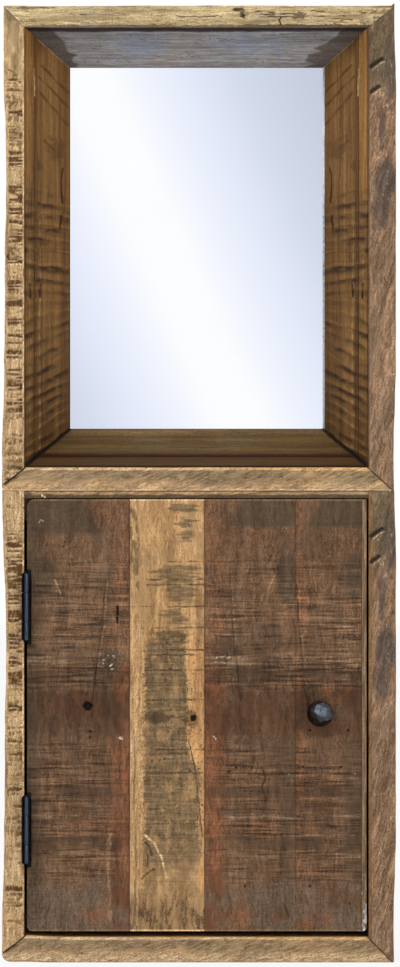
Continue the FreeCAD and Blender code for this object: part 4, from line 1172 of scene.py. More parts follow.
# %% [markdown]
# The side liners match each other as if one board had been opened like a book: three slanted saw
# scratches near the top, black splits beside the mirror, and dark wavy bands that lean up towards the
# glass lower down. A black line of painted shadow runs along their front edge, where they step back
# behind the boards. The right one is carved with the marks of the left one, seen in a mirror; it also
# gets a white painted highlight along its edge at the glass, and painted shade, because the upper left
# lamp lights it more than the left one. The edge at the glass stays sharp, so no mark goes deep there.


# %% Side liners
BAND_SPACING = 9.4


def carve_liner_left(x, z, u):
    scratches = lines(
        x, z,
        [
            ([(-121.5, 4), (-112, -6), (-102, -15.5)], 2.6),
            ([(-124, -5), (-112, -16.5), (-101.5, -27.6)], 2.2),
            ([(-123, -17), (-112, -30), (-101.5, -42)], 2.6),
            ([(-119.6, -54), (-109, -64)], 2.2),
        ],
    )
    scratches = scratches * (0.45 + 0.55 * mottle(x / 6, z / 6, 70))
    splits = lines(
        x, z,
        [
            ([(-106, -75), (-107.2, -88), (-106.2, -101)], 1.5), ([(-106.8, -111), (-108, -121)], 1.7),
            ([(-130.2, -165), (-129.8, -175.5)], 1.6), ([(-122.6, -165), (-122.8, -174.5)], 1.6),
        ],
    )
    lean = z + (0.2 - 0.7 * ramp(z, -130, -230)) * (x + 118)
    waves = lean + 11 * stray(x, z, 26, 34, 71)
    begins = ramp(z, -75, -115)
    broken = speck(x, z, 16, 9, 78, 0.1, 0.6)
    phase = np.mod(waves / BAND_SPACING, 1)
    swells = ramp(phase, 0.2, 0.75) * (1 - ramp(phase, 0.86, 1))
    swells = swells * begins * (0.3 + 0.7 * cloud(x, z, 20, 13, 72, 0.3, 0.65))
    swells = swells * (1 - 0.15 * ramp(z, -230, -265)) * (1 - 0.3 * ramp(u, 20, 30))
    swells = swells * (0.5 + 0.5 * cloud(x, z, 5, 3, 79, 0.3, 0.6))
    crests = ramp(phase, 0, 0.06) * (1 - ramp(phase, 0.16, 0.36)) * begins * broken
    thin_bands = ridges(mottle(waves / 5, x / 40, 73), 0.3) * begins * broken
    column = (
        strongest(np.exp(-(((u - 12) / 2.4) ** 2)), np.exp(-(((u - 4.6) / 2) ** 2)))
        * begins * (1 - swells)
    )
    smudge = strongest(
        patch(x, z, (-112, -60), (9, 9), 74) * 0.45, patch(x, z, (-126, -72), (4, 9), 80) * 0.5,
    )
    streaks = cloud(x, z, 3.2, 60, 75, 0.5, 0.72)
    top_edge = LINER_TOP_HIGH[2] - END_REVEAL * u / SIDE_REVEAL - z
    mitre_light = (1 - ramp(top_edge, 0.4, 1.4)) * ramp(u, 8, 12)
    foot_edge = z - (LINER_BOTTOM_LOW[2] + END_REVEAL * u / SIDE_REVEAL)
    spread = 1 - u / SIDE_REVEAL
    mitre_dark = 1 - ramp(foot_edge + 2.6 * stray(x, z, 3, 3, 76), 0.8 + 1.6 * spread, 3.2 + 3 * spread)
    cream = line(x, z, [(-127.4, 1), (-126.9, -20)], 1.2)
    # darker along the groove
    groove_darkening = np.exp(-(((u - 8.8) / 1.3) ** 2))
    # painted shadow: a black line along the front edge, where the liner steps back behind the board
    gap_shadow = 1 - ramp(u, 0.9, 2.1)
    shade = ramp(z - 0.5 * u, -4, 16) * 0.5
    low = ramp(z, -180, -290)
    glass_edge = ramp(u, SIDE_REVEAL - 1.2, SIDE_REVEAL - 0.4)
    rear = ramp(u, 30.5, 33.5)
    depth = (0.9 * splits + 0.35 * scratches + 0.3 * layered(x / 5, z / 14, 77)) * (1 - rear)
    masks = {
        "dark": strongest(
            scratches * 0.7, thin_bands * 0.5, swells * 0.95, smudge, mitre_dark * 0.9, shade,
            groove_darkening * 0.6, splits, low * 0.5, glass_edge * 0.8,
        ),
        "gold": strongest((1 - ramp(u, 7.4, 8.2)) * ramp(z, -130, -30) * 0.55, crests * 0.5),
        "grey": streaks * 0.5,
        "red": strongest(ramp(z, -150, -260) * 0.3, ramp(u, 20, 30) * 0.7),
        "pale": strongest(mitre_light * 0.5, cream * 0.8, column * 0.24),
        # painted shade inside the splits, a painted shadow line along the front edge, and painted shade in
        # the mitre at the foot
        "open": strongest(
            splits * 0.45, gap_shadow * 0.9,
            mitre_dark * ramp(foot_edge, 2.6 + 2 * spread, 0.8) * 0.8,
        ),
        "wash": strongest(swells * 0.4, thin_bands * 0.2) + 0.18 * begins,
    }
    return depth, masks


BOOK_CENTRE = (LINER_LEFT_LOW[0] + LINER_RIGHT_HIGH[0]) / 2


def carve_liner_right(x, z, u):
    depth, masks = carve_liner_left(2 * BOOK_CENTRE - x, z, u)
    # painted highlight: a thin white line along the rear edge beside the glass, above its foot
    masks["ash"] = ramp(u, 32.5, 33.1) * ramp(z, -300, -270)
    # painted shade: the right liner is darkened a little all over, and more below its top, because the upper
    # left lamp lights it more than the left one
    masks["wash"] = masks["wash"] + 0.05 + 0.1 * ramp(z, -60, -110)
    return depth, masks


SIDE_GROOVE = 7.6
liner_timber = timber(
    "golden_brown_timber", "z",
    ((163, 121, 69), (141, 102, 55), (114, 80, 41)),
    {
        # this near-white colour is the painted highlight along the right liner's edge at the glass
        "dark": (74, 47, 22), "ash": (244, 245, 248), "gold": (160, 114, 60), "grey": (122, 88, 48),
        "red": (130, 91, 45), "pale": (214, 186, 140),
    },
    fibre=3, run=0.03, fine=0.7, grit=0.5, fray=0.4, wash=0.6, weather=0.1, seed=41,
)
for node, x_board, inward, carve in (
    ("liner_left", LINER_LEFT_LOW[0], 1, carve_liner_left),
    ("liner_right", LINER_RIGHT_HIGH[0], -1, carve_liner_right),
):
    low, high = LINER_LEFT_LOW[2], LINER_LEFT_HIGH[2]
    place = standing(x_board, inward, low, high, SIDE_REVEAL, END_REVEAL, END_REVEAL)
    lay_liner(node, liner_timber, liner_section(SIDE_REVEAL, SIDE_GROOVE), high - low, place, carve)

# %% [markdown]
# The top liner was once painted and has weathered to streaky blue-grey, with brown ends where it was
# covered and a dark, reddish shadow line along its front. The bottom liner is dull olive brown with
# grey-green clouds.


# %% Top and bottom liners
def carve_liner_top(x, z, u):
    zigzag = 12 * (mottle(z / 6, x / 40, 81) - 0.5) + 9 * (mottle(z / 2.2, x / 30, 82) - 0.5)
    ends = strongest(
        1 - ramp(x + zigzag + 0.9 * (z - 18), -105, -101),
        ramp(x - zigzag - 0.9 * (z - 18), 94, 98),
    )
    blue = strongest(patch(x, z, (-46, 19), (20, 10), 83, 1.3), patch(x, z, (36, 20), (32, 9), 84, 1.3))
    brown = strongest(patch(x, z, (-28, 9.5), (14, 5), 85), patch(x, z, (-8, 20), (18, 7), 86) * 0.7)
    wavy = z + 1.6 * stray(x, z, 9, 6, 91)
    streaks = ramp(layered(x / 22, wavy / 2.2, 87), 0.5, 0.7)
    marks = ridges(layered(x / 12, wavy / 2.4, 88), 0.13) * speck(x, z, 8, 3, 92, 0.45, 0.75)
    light = ramp(layered(x / 16, wavy / 1.8, 89), 0.5, 0.75)
    shadow = 1 - ramp(u + 0.8 * (layered(x / 10, z, 93) - 0.5), 3, 4.6)
    rear = ramp(u, 27.4, 28.6)
    depth = (0.3 * layered(x / 12, z / 2, 90) + 0.3 * marks) * (1 - rear)
    masks = {
        "dark": strongest(ends * 0.75, marks * 0.5, rear * 0.4, 0.7 - 0.7 * ramp(u, 0.8, 1.6)),
        "grey": blue * 0.6,
        "red": strongest(brown * 0.5, streaks * 0.25),
        "pale": light * 0.35 * (1 - ends),
        "open": shadow * ramp(u, 0.5, 1.3) * 0.9,
        "wash": strongest(1 - ramp(u, 6, 17), ramp(u, 22, 28) * 0.8),
    }
    return depth, masks


def carve_liner_bottom(x, z, u):
    clouds = strongest(
        patch(x, z, (-38, -286), (22, 8), 91), patch(x, z, (28, -286), (18, 7), 92),
        patch(x, z, (-4, -290), (40, 4.5), 93) * 0.7,
    )
    streaks = cloud(x, z, 40, 2.4, 94, 0.5, 0.75)
    front_dark = 1 - ramp(u, 6.5, 9.4)
    # painted shadow: a black line along the front edge, where the liner steps back behind the middle board
    step_shadow = 1 - ramp(u, 1, 2.6)
    left_edge = x - (LINER_LEFT_LOW[0] + SIDE_REVEAL * u / END_REVEAL)
    right_edge = LINER_RIGHT_HIGH[0] - SIDE_REVEAL * u / END_REVEAL - x
    mitre = 1 - ramp(np.minimum(left_edge, right_edge) + 2.2 * stray(x, z, 3, 3, 96), 1.2, 4.2)
    red_line = np.exp(-(((u - 8.9 + 0.8 * (layered(x / 12, z, 97) - 0.5)) / 2) ** 2))
    rear = ramp(u, 28, 28.8)
    depth = 0.3 * layered(x / 14, z / 3, 95) * (1 - rear)
    masks = {
        "dark": strongest(front_dark * 0.6, streaks * 0.3, mitre * 0.9),
        "grey": clouds * 0.6, "red": red_line,
        "pale": strongest(rear * 0.3, ramp(u, 20, 27) * 0.36),
        # painted shadow along the front step, and painted shade in the mitre joints
        "open": strongest(step_shadow * 0.85, mitre * ramp(np.minimum(left_edge, right_edge), 4, 0.8) * 0.8),
    }
    return depth, masks


TOP_GROOVE = 3.2
BOTTOM_GROOVE = 8.5
painted_timber = timber(
    "blue_grey_timber", "x",
    ((180, 178, 178), (160, 158, 158), (134, 130, 128)),
    {
        "dark": (92, 79, 68), "grey": (146, 154, 174), "red": (150, 132, 116), "pale": (196, 196, 196),
        "open": (42, 20, 15),
    },
    fibre=1.6, run=0.06, curl=3, fine=0.9, grit=0.7, wash=0.22, seed=53,
)
olive_timber = timber(
    "olive_brown_timber", "x",
    ((114, 87, 44), (98, 74, 36), (82, 58, 25)),
    {
        "dark": (66, 42, 18), "grey": (108, 88, 58), "red": (58, 21, 10), "pale": (176, 142, 96),
        "open": (34, 20, 12),
    },
    fibre=3, run=0.03, fine=0.5, grit=0.4, fray=0.4, weather=0.15, seed=59,
)
for node, material, z_board, inward, groove, carve in (
    ("liner_top", painted_timber, LINER_TOP_HIGH[2], -1, TOP_GROOVE, carve_liner_top),
    ("liner_bottom", olive_timber, LINER_BOTTOM_LOW[2], 1, BOTTOM_GROOVE, carve_liner_bottom),
):
    left, right = LINER_TOP_LOW[0], LINER_TOP_HIGH[0]
    place = lying(z_board, inward, left, right, END_REVEAL, SIDE_REVEAL, SIDE_REVEAL)
    lay_liner(node, material, liner_section(END_REVEAL, groove), right - left, place, carve)

# %% [markdown]
# The door is four planks of two old floors: three dark ones and a light one. The dark ones came from one
# long board, so they share the same level bands, where a frame saw and old battens left their marks.
# Those bands are listed by height; noise breaks them up along the plank.

# %% Marks the dark planks share
DOOR_LOW, DOOR_HIGH = node_box("door_plank_1")
# each band: top, bottom, then how much it is dark, grey, red and pale
LEVEL_BANDS = (
    (-436, -449, 0.2, 0.25, 0, 0), (-451, -459, 0, 0.15, 0, 0.32), (-462, -471, 0.3, 0.25, 0, 0),
    (-472, -476, 0, 0, 0, 0.22), (-478, -512, 0.4, 0, 0.45, 0), (-545, -549, 0, 0, 0.2, 0.2),
    (-551, -560, 0.3, 0.35, 0, 0), (-564, -572, 0.28, 0.3, 0, 0), (-573, -577, 0, 0, 0.1, 0.3),
    (-578, -588, 0.15, 0, 0.35, 0), (-590, -600, 0.35, 0.45, 0, 0), (-602, -610, 0, 0.2, 0.1, 0.22),
    (-613, -625, 0.1, 0.15, 0.2, 0), (-627, -664, 0.05, 0.2, 0, 0),
)
# thin lines: height, how dark, how pale
LEVEL_LINES = (
    (-353, 0.35, 0), (-376.5, 0.35, 0.25), (-384, 0.3, 0), (-402.5, 0.65, 0), (-411.5, 0.2, 0.45),
    (-416, 0.3, 0.4), (-420.5, 0.3, 0.45), (-425.5, 0.3, 0.4), (-434.5, 0, 0.5), (-436.2, 0.75, 0),
    (-452.5, 0.3, 0.5), (-456.5, 0.25, 0.4), (-463, 0.45, 0), (-471.5, 0.4, 0), (-545, 0, 0.35),
    (-557.5, 0.45, 0), (-573.5, 0, 0.55), (-576, 0.45, 0.3), (-588.8, 0, 0.5), (-600.3, 0.6, 0),
    (-604, 0, 0.35), (-611.6, 0.5, 0.35), (-625.8, 0.3, 0),
)


def level_marks(x, z, seed):
    """The bands and thin lines of a dark plank: dark, grey, red and pale."""
    sag = z + 1.6 * shake(x, z, 22, 40, seed)
    marks = [np.zeros(x.shape) for _ in range(4)]
    for number, (top, bottom, *amounts) in enumerate(LEVEL_BANDS):
        ends = ramp(sag, top + 1.2, top - 1) * ramp(sag, bottom - 1.5, bottom + 1.5)
        ends = ends * (0.35 + 0.65 * cloud(x, z, 17, 12, seed + number, 0.3, 0.6))
        for kind, amount in enumerate(amounts):
            marks[kind] = np.maximum(marks[kind], ends * amount)
    for number, (height, dark, pale) in enumerate(LEVEL_LINES):
        stroke = 1 - ramp(np.abs(sag - height), 0.25, 1)
        stroke = stroke * ramp(mottle(x / 9, x * 0, seed + 40 + number), 0.25, 0.65)
        marks[0] = np.maximum(marks[0], stroke * dark)
        marks[3] = np.maximum(marks[3], stroke * pale * 0.75)
    return marks


def flaking(x, z, middle, half, seed):
    """A patch where old paint flakes off: pale and dark specks."""
    inside = patch(x, z, middle, half, seed, 0.9)
    specks = mottle(x / 1.3, z / 0.9, seed + 1)
    return inside * ramp(specks, 0.62, 0.78), inside * ramp(specks, 0.38, 0.2)


def threads(x, z, where, seed):
    """Dark and light threads of upright grain."""
    grain = layered((x + 1.2 * np.sin(z / 9)) / 1.3, z / 13, seed)
    return where * ramp(grain, 0.48, 0.3) * 0.5, where * ramp(grain, 0.6, 0.8) * 0.3


def curled_grain(x, z, middle, seed):
    """A knot of short dark curls."""
    strands = ridges(layered((x + 1.5 * np.sin(z / 3)) / 2.2, z / 5, seed), 0.16)
    return strands * patch(x, z, middle, (9, 9), seed + 1, 0.9)


def dark_plank(x, z, seed):
    """What the dark planks share: level bands, saw zones, reddish wood near the top and worn ends."""
    dark, grey, red, pale = level_marks(x, z, seed)
    upper = ramp(z, -372, -384) * ramp(z, -480, -472)
    lower = ramp(z, -512, -524) * ramp(z, -630, -618)
    gate = cloud(x, z, 24, 16, seed + 5, 0.2, 0.5)
    sawn = 0.12 + 0.88 * strongest(upper, lower) * gate
    red = strongest(red, ramp(z, -384, -360) * 0.28 * cloud(x, z, 12, 18, seed + 9, 0.3, 0.6))
    clouds = cloud(x, z, 18, 24, seed + 8, 0.5, 0.75) * 0.35
    ends = strongest(
        ramp(z, DOOR_HIGH[2] - 1.8, DOOR_HIGH[2] - 0.8),
        ramp(z, DOOR_LOW[2] + 1.8, DOOR_LOW[2] + 0.8),
    )
    curls = ridges(layered((x + 3 * np.sin(z / 7)) / 3.4, z / 9, seed + 11), 0.12)
    curls = curls * strongest(ramp(z, -374, -362), ramp(z, -476, -486) * ramp(z, -522, -510)) * 0.4
    stained = ramp(z, -455, -462) * (0.35 * ramp(z, -610, -570) + 0.65 * ramp(z, -525, -495))
    stained = stained * (0.55 + 0.45 * layered(x / 15, z / 15, seed + 12))
    depth = 0.4 * dark - 0.25 * pale + 0.3 * layered(x / 4, z / 6, seed + 10) + 0.3 * curls
    ash = ramp(z, -616, -632) * cloud(x, z, 16, 12, seed + 13, 0.3, 0.6) * 0.55
    return depth, {
        "ash": ash, "dark": strongest(dark, curls), "grey": strongest(grey, clouds), "red": red,
        "pale": strongest(pale, ends * 0.45), "open": np.zeros(x.shape), "gold": np.zeros(x.shape),
        "sawn": sawn, "wash": stained,
    }


def deepen(masks, **more):
    """Adds marks to the masks of a plank."""
    for name, mark in more.items():
        masks[name] = strongest(masks[name], mark)
    masks["red"] = masks["red"] * (1 - 0.85 * masks["grey"])


def leaning_crack(x, z, path, width, least, seed):
    """A crack along a plank that nearly closes in places."""
    return line(x, z, path, width) * (least + (1 - least) * mottle(x / 2, z / 7, seed))


def grey_corner(x, z, lean, start, full, low, high, seed):
    """A grey corner at the top of a plank, with a slanted side and a ragged foot."""
    foot = z + 1.5 * shake(x, z, 5, 3, seed)
    return ramp(x + lean * (z + 345), start, full) * ramp(foot, low, high)


def low_column(x, z, start, full, low, seed):
    """A greyer strip along the right edge of a plank, in its lower half."""
    return ramp(x + 7 * stray(x, z, 8, 14, seed), start, full) * ramp(z, -500, low)


print("level bands:", len(LEVEL_BANDS), "and lines:", len(LEVEL_LINES))

# %% [markdown]
# Each plank is cut to the width between its seams and laid on the front plane of the door. The dark planks
# are stained softwood with little grain left to see, so their fibres are weak and the level saw lines strong.

# %% Cut a plank
PLANK_ROW = 0.75
LIPPING_LOW, LIPPING_HIGH = node_box("door_edge_lipping")
SEAMS = [node_box(f"door_plank_{number}")[0][0] for number in (1, 2, 3, 4)] + [LIPPING_LOW[0]]
DOOR_THICK = DOOR_HIGH[1] - DOOR_LOW[1]

dark_plank_timber = timber(
    "dark_plank_timber", "z",
    ((138, 105, 77), (115, 85, 60), (91, 65, 45)),
    {
        "dark": (60, 42, 30), "grey": (88, 71, 53), "red": (140, 90, 60), "ash": (113, 96, 80),
        "gold": (214, 206, 196), "pale": (166, 136, 104),
    },
    fibre=1.2, run=0.16, curl=6, fine=0.35, grit=1.2, fray=0.65, saw=1.7, wash=0.4, seed=67,
)


def lay_door_board(node, material, slot, left, right, carve, rounding=0.45, shape=None):
    """Lays an upright board of the door between two seams."""
    lay_board(
        node, material,
        plain_section(right - left, DOOR_THICK),
        DOOR_HIGH[2] - DOOR_LOW[2],
        {0: PLANK_ROW},
        standing(left, 1, DOOR_LOW[2], DOOR_HIGH[2], right - left, y_face=DOOR_LOW[1]),
        carve, 0, shape, PLANK_ROW, rounding=rounding, body="door",
    )


def lay_dark_plank(number, carve, shape=None):
    node, seams = f"door_plank_{number}", SEAMS[number - 1 : number + 1]
    lay_door_board(node, dark_plank_timber, "door_dark_wood", *seams, carve, shape=shape)


print("seams of the door:", [round(seam, 1) for seam in SEAMS])

# %% [markdown]
# The first plank has the large nail hole with its rust, a long crack, a torn slit, and a red edge towards
# the light plank. Beside each hinge barrel its edge is scooped out, and the scoop is painted black as the
# barrel's shadow. Its outer corners are worn round.


# %% First plank
SCOOP_WIDTH = 3.4  # how far the clearance beside a hinge barrel reaches into the plank
SCOOP_SPARE = 2.5  # and how far it runs beyond the barrel's ends


def shaded_hinge_scoops(x, z):
    """1 where the edge of the door is cut away beside its hinges; the cut is also painted black as shade."""
    cut = np.zeros(x.shape)
    for level in ("upper", "lower"):
        low, high = node_box(f"{level}_hinge_pin")
        along = ramp(z, low[2] - SCOOP_SPARE, low[2] - SCOOP_SPARE + 1) * ramp(
            z, high[2] + SCOOP_SPARE, high[2],
        )
        cut = np.maximum(cut, along)
    return cut * ramp(x, DOOR_LOW[0] + SCOOP_WIDTH, DOOR_LOW[0] + SCOOP_WIDTH - 0.8)


def carve_plank_1(x, z, u):
    depth, masks = dark_plank(x, z, 110)
    # the scoops are carved, and also painted black as shade beside the barrels
    shaded_scoops = shaded_hinge_scoops(x, z)
    path = [(-72, -392), (-73.5, -408), (-74.3, -423), (-76.6, -439), (-79, -458)]
    path += [(-80.6, -470), (-82.6, -488), (-82.7, -498)]
    crack = leaning_crack(x, z, path, 1.5, 0.5, 131)
    beside = line(x - 1.5, z, path[:5], 1.4)
    slit = strongest(
        line(x, z, [(-63.2, -413), (-63, -419)], 2.4),
        line(x, z, [(-63.6, -421.5), (-63, -425.5)], 1.8),
    )
    hole = nail_hole(x, z, (-86, -489.4), 3.3)
    small = spots(x, z, [(-83.9, -509), (-84.3, -513.6)], 1.2)
    rust = patch(x, z, (-98, -488), (27, 13), 132)
    top_grey = grey_corner(x, z, 0.5, -78, -86, -362, -353, 137)
    side_grey = patch(x, z, (-123, -391), (14, 19), 133, 0.4)
    foot = ramp(z, -622, -636) * (1 - ramp(x - 0.5 * (z + 645), -92, -74))
    light_flakes, dark_flakes = flaking(x, z, (-67.3, -455.6), (7.5, 6.5), 134)
    nicks = lines(x, z, [([(-114, -640), (-119, -652)], 1.7), ([(-129, -631), (-129.5, -634)], 1.8)])
    curled = curled_grain(x, z, (-101, -369), 140)
    scratch = line(x, z, [(-111.5, -392), (-105, -408)], 1.1)
    edge_noise = 7 * stray(x, z, 7, 22, 135)
    red_edge = ramp(x + edge_noise, -80, -60) * (0.45 + 0.55 * ramp(z, -420, -455))
    low_red = patch(x, z, (-77, -652), (22, 9), 138) * 0.9
    upper_edge = ramp(z, -470, -440)
    ragged = 3 * shake(x, z, 2, 4, 141)
    gleam = line(x + ragged, z, [(-69, -588), (-70, -625), (-69, -655)], 3) * 0.45
    bright = patch(x, z, (-101, -603), (17, 11), 136) * 0.12
    white = spots(x, z, [(-61.2, -513.6), (-60.2, -514.4)], 1.2)
    curl = line(x, z, [(-124, -349), (-122.5, -346), (-120.5, -347.5)], 1)
    halo = patch(x, z, (-66.5, -453.5), (11, 11), 143)
    dark_threads, light_threads = threads(x, z, red_edge, 142)
    seam = ramp(x, -55, -54.2)
    left_dark = patch(x, z, (-112, -497), (22, 22), 144) * 0.36
    outer = 1 - ramp(x + 6 * stray(x, z, 9, 16, 139), -128, -114)
    deepen(
        masks,
        dark=strongest(
            nicks * 0.9, dark_flakes * 0.8, rust * 0.4, left_dark, seam * 0.6,
            red_edge * ramp(z, -598, -632) * 0.4, curled * 0.8, dark_threads,
        ),
        ash=foot * 0.45,
        grey=strongest(top_grey * 0.9, side_grey, foot * 0.35, outer * 0.6, halo * 0.8),
        wash=strongest(rust, outer * 0.35, side_grey * 0.45),
        red=strongest(rust * 0.55, red_edge * 0.75, low_red * 0.8),
        pale=strongest(
            beside * 0.4, scratch * 0.8, bright, gleam, light_threads, red_edge * upper_edge * 0.38,
        ),
        gold=strongest(light_flakes * 0.65, white * 0.8, curl * 0.45),
        # painted shade inside the nail holes, crack and slit, and beside the hinge barrels
        open=strongest(hole * 1.3, crack * 0.6, slit, small * 0.8, shaded_scoops),
    )
    masks["sawn"] = masks["sawn"] * (1 - 0.7 * red_edge)
    return depth + 3 * hole + 0.9 * crack + 1.5 * slit + 1.2 * small + 0.5 * nicks + 1.2 * shaded_scoops, masks


DOOR_TOP_ROUNDING = 6
DOOR_BOTTOM_ROUNDING = 4


def worn_door_corners(x, y, z):
    ends = ((DOOR_TOP_ROUNDING, DOOR_HIGH[2], 1), (DOOR_BOTTOM_ROUNDING, DOOR_LOW[2], -1))
    for radius, z_corner, to_top in ends:
        x, z = rounded(x, z, DOOR_LOW[0] + radius, z_corner - to_top * radius, radius, 1, to_top)
    return x, y, z


lay_dark_plank(1, carve_plank_1, worn_door_corners)

# %% [markdown]
# The second plank is the light one: bright strips at both sides, a grey-green patina between them that
# starts in striped patches at the top, level saw cuts, a small nail hole and a curled knot low down.


# %% Second plank
def carve_plank_2(x, z, u):
    combed = x + 12 * (mottle(z / 1.3, x / 30, 166) - 0.5) + 4 * shake(x, z, 1.5, 1.2, 182)
    patches = strongest(
        patch(combed, z, (-12.4, -337), (14, 3.6), 161, 0.4),
        patch(combed, z, (-10.5, -348), (7, 5), 162, 0.5),
        patch(combed, z, (-9, -358), (6, 6), 185, 0.5),
        patch(combed, z, (-17, -388), (19, 9), 163, 0.4),
        patch(combed, z, (-13.5, -403), (13, 9), 164, 0.4),
        patch(combed, z, (-19, -421), (11, 8), 165, 0.5),
        patch(combed, z, (-22.8, -438), (16, 9), 186, 0.4),
    )
    stripes = 0.45 + 0.55 * ramp(mottle(z / 0.9, x / 9, 187), 0.25, 0.6)
    crumbs = mottle(x / 1.4, z / 1.1, 181) - 0.5
    left_bound = -45 + 7 * stray(x, z, 9, 22, 167) + 5 * crumbs
    right_bound = -11 - 0.05 * (z + 470) * ramp(z, -520, -470) + 8 * stray(x, z, 8, 20, 168)
    right_bound = right_bound - 3 * crumbs
    right_bound = right_bound + 10 * ramp(z, -520, -545)
    inside = ramp(x, left_bound, left_bound + 3.5) * (1 - ramp(x, right_bound, right_bound + 2.5))
    patina = inside * ramp(z, -434, -446) * (0.55 + 0.45 * ramp(z, -625, -590))
    patina = patina * (0.5 + 0.5 * cloud(x, z, 6, 9, 169, 0.25, 0.55)) * (1 - 0.4 * ramp(crumbs, 0.15, 0.4))
    level = np.zeros(x.shape)
    cuts = ((-378.7, -24), (-392.5, -40), (-396.4, -40), (-413.3, -52), (-429.4, -34))
    cuts += ((-446.5, -40), (-450.2, -40), (-462, -36), (-484.8, -40), (-523, -40), (-541, -40))
    for height, left in cuts:
        level = np.maximum(level, line(x, z, [(left, height), (3, height + 0.4)], 1.3))
    level = level * (0.3 + 0.7 * speck(x, z, 7, 2, 170, 0.25, 0.6))
    hole = nail_hole(x, z, (-4.7, -498.6), 2.3)
    around = patch(x, z, (-6, -500), (6, 8), 178) * 0.6
    blots = strongest(patch(x, z, (-30, -435.5), (5, 4.5), 188), patch(x, z, (-16, -436.5), (6, 4.5), 189))
    smear = patch(x, z, (-33, -499), (10, 6), 171)
    curl = lines(
        x, z,
        [
            ([(-42, -594), (-38, -598.5), (-36.5, -604)], 1.8),
            ([(-44.5, -622.4), (-40, -618.2), (-35, -614.7)], 1.6),
            ([(-41.5, -600), (-39.5, -606), (-40, -613)], 1.1),
        ],
    )
    curl_pale = line(x, z, [(-41.5, -589.3), (-34.5, -595.5), (-29.1, -606.2), (-25.3, -621.6)], 1.8)
    smear_low = patch(x, z, (-38.5, -600), (6, 9), 183) * 0.6
    olive = (1 - ramp(x + 5 * stray(x, z, 3, 7, 173), -48.5, -45)) * ramp(z, -408, -398)
    olive = olive * ramp(z, -334, -340) * cloud(x, z, 2.4, 6, 174, 0.4, 0.6)
    near = ramp(x, left_bound - 8, left_bound - 2) * ramp(z, -420, -440) * ramp(z, -610, -570)
    specks = ramp(mottle(x / 1.2, z / 1.4, 175), 0.94 - 0.2 * near, 0.99 - 0.12 * near)
    dust = cloud(x, z, 9, 12, 184, 0.42, 0.62) * ramp(z, -446, -430) * 0.3
    left_strip = (1 - ramp(x, left_bound - 2, left_bound + 1)) * ramp(z, -400, -430)
    split = line(x, z, [(-50.5, -508), (-49.5, -530), (-50.5, -556), (-49, -590), (-50, -660)], 1.3)
    right_strip = ramp(x, right_bound + 1, right_bound + 4) * ramp(z, -425, -445)
    seam_crack = line(x, z, [(-8.5, -515), (-4, -535), (-1, -560), (2, -590)], 1.3)
    foot = ramp(z, -622, -646)
    foot_dark = foot * cloud(x, z, 1.5, 6, 176, 0.45, 0.65)
    waves = ridges(layered((x + 0.5 * z + 4 * np.sin(z / 16)) / 3.4, z / 30, 179), 0.22)
    waves = waves * ramp(z, -440, -415) * (1 - ramp(x, -18, -6))
    seams = strongest(1 - ramp(x, -53.3, -52.7), ramp(x, 2.8, 3.4))
    ends = strongest(ramp(z, -332.3, -331.2), ramp(z, -660.7, -661.8))
    depth = (
        2.4 * hole + 0.5 * level + 0.6 * curl + 0.5 * split
        + 0.35 * layered(x / 4, z / 7, 177) - 0.2 * curl_pale
    )
    masks = {
        "dark": strongest(
            level * 0.75, curl * 0.75, smear * 0.65, patches * (1 - stripes) * 0.5, blots * 0.5,
            specks * 0.7, foot_dark * 0.6, seams * 0.3, split * 0.6, around, seam_crack * 0.8, waves * 0.3,
        ),
        "grey": strongest(patches * stripes, patina, olive * 0.9, foot * 0.5, smear_low, dust),
        "red": strongest(right_strip * 0.75, left_strip * 0.2),
        "pale": strongest(curl_pale * 0.65, left_strip * 0.55 * mottle(x / 2, z / 14, 180), ends * 0.8),
        # painted shade inside the nail hole
        "open": hole * 1.3,
        "sawn": 0.12 + 0.88 * strongest(patina, 0.6 * patches),
    }
    return depth, masks


light_plank_timber = timber(
    "light_plank_timber", "z",
    ((215, 172, 119), (192, 150, 101), (160, 119, 76)),
    {"dark": (72, 54, 36), "grey": (120, 99, 71), "red": (200, 150, 99), "pale": (226, 192, 146)},
    fibre=1.5, run=0.07, curl=5, fine=1, grit=1.1, saw=1.6, weather=0.12, seed=71,
)
lay_door_board("door_plank_2", light_plank_timber, "door_light_wood", SEAMS[1], SEAMS[2], carve_plank_2)

# %% [markdown]
# The third and fourth planks repeat the dark board: cracks that lean to the right, grey corners at the
# top, darker columns at their right edges, and small nail marks round the knob.


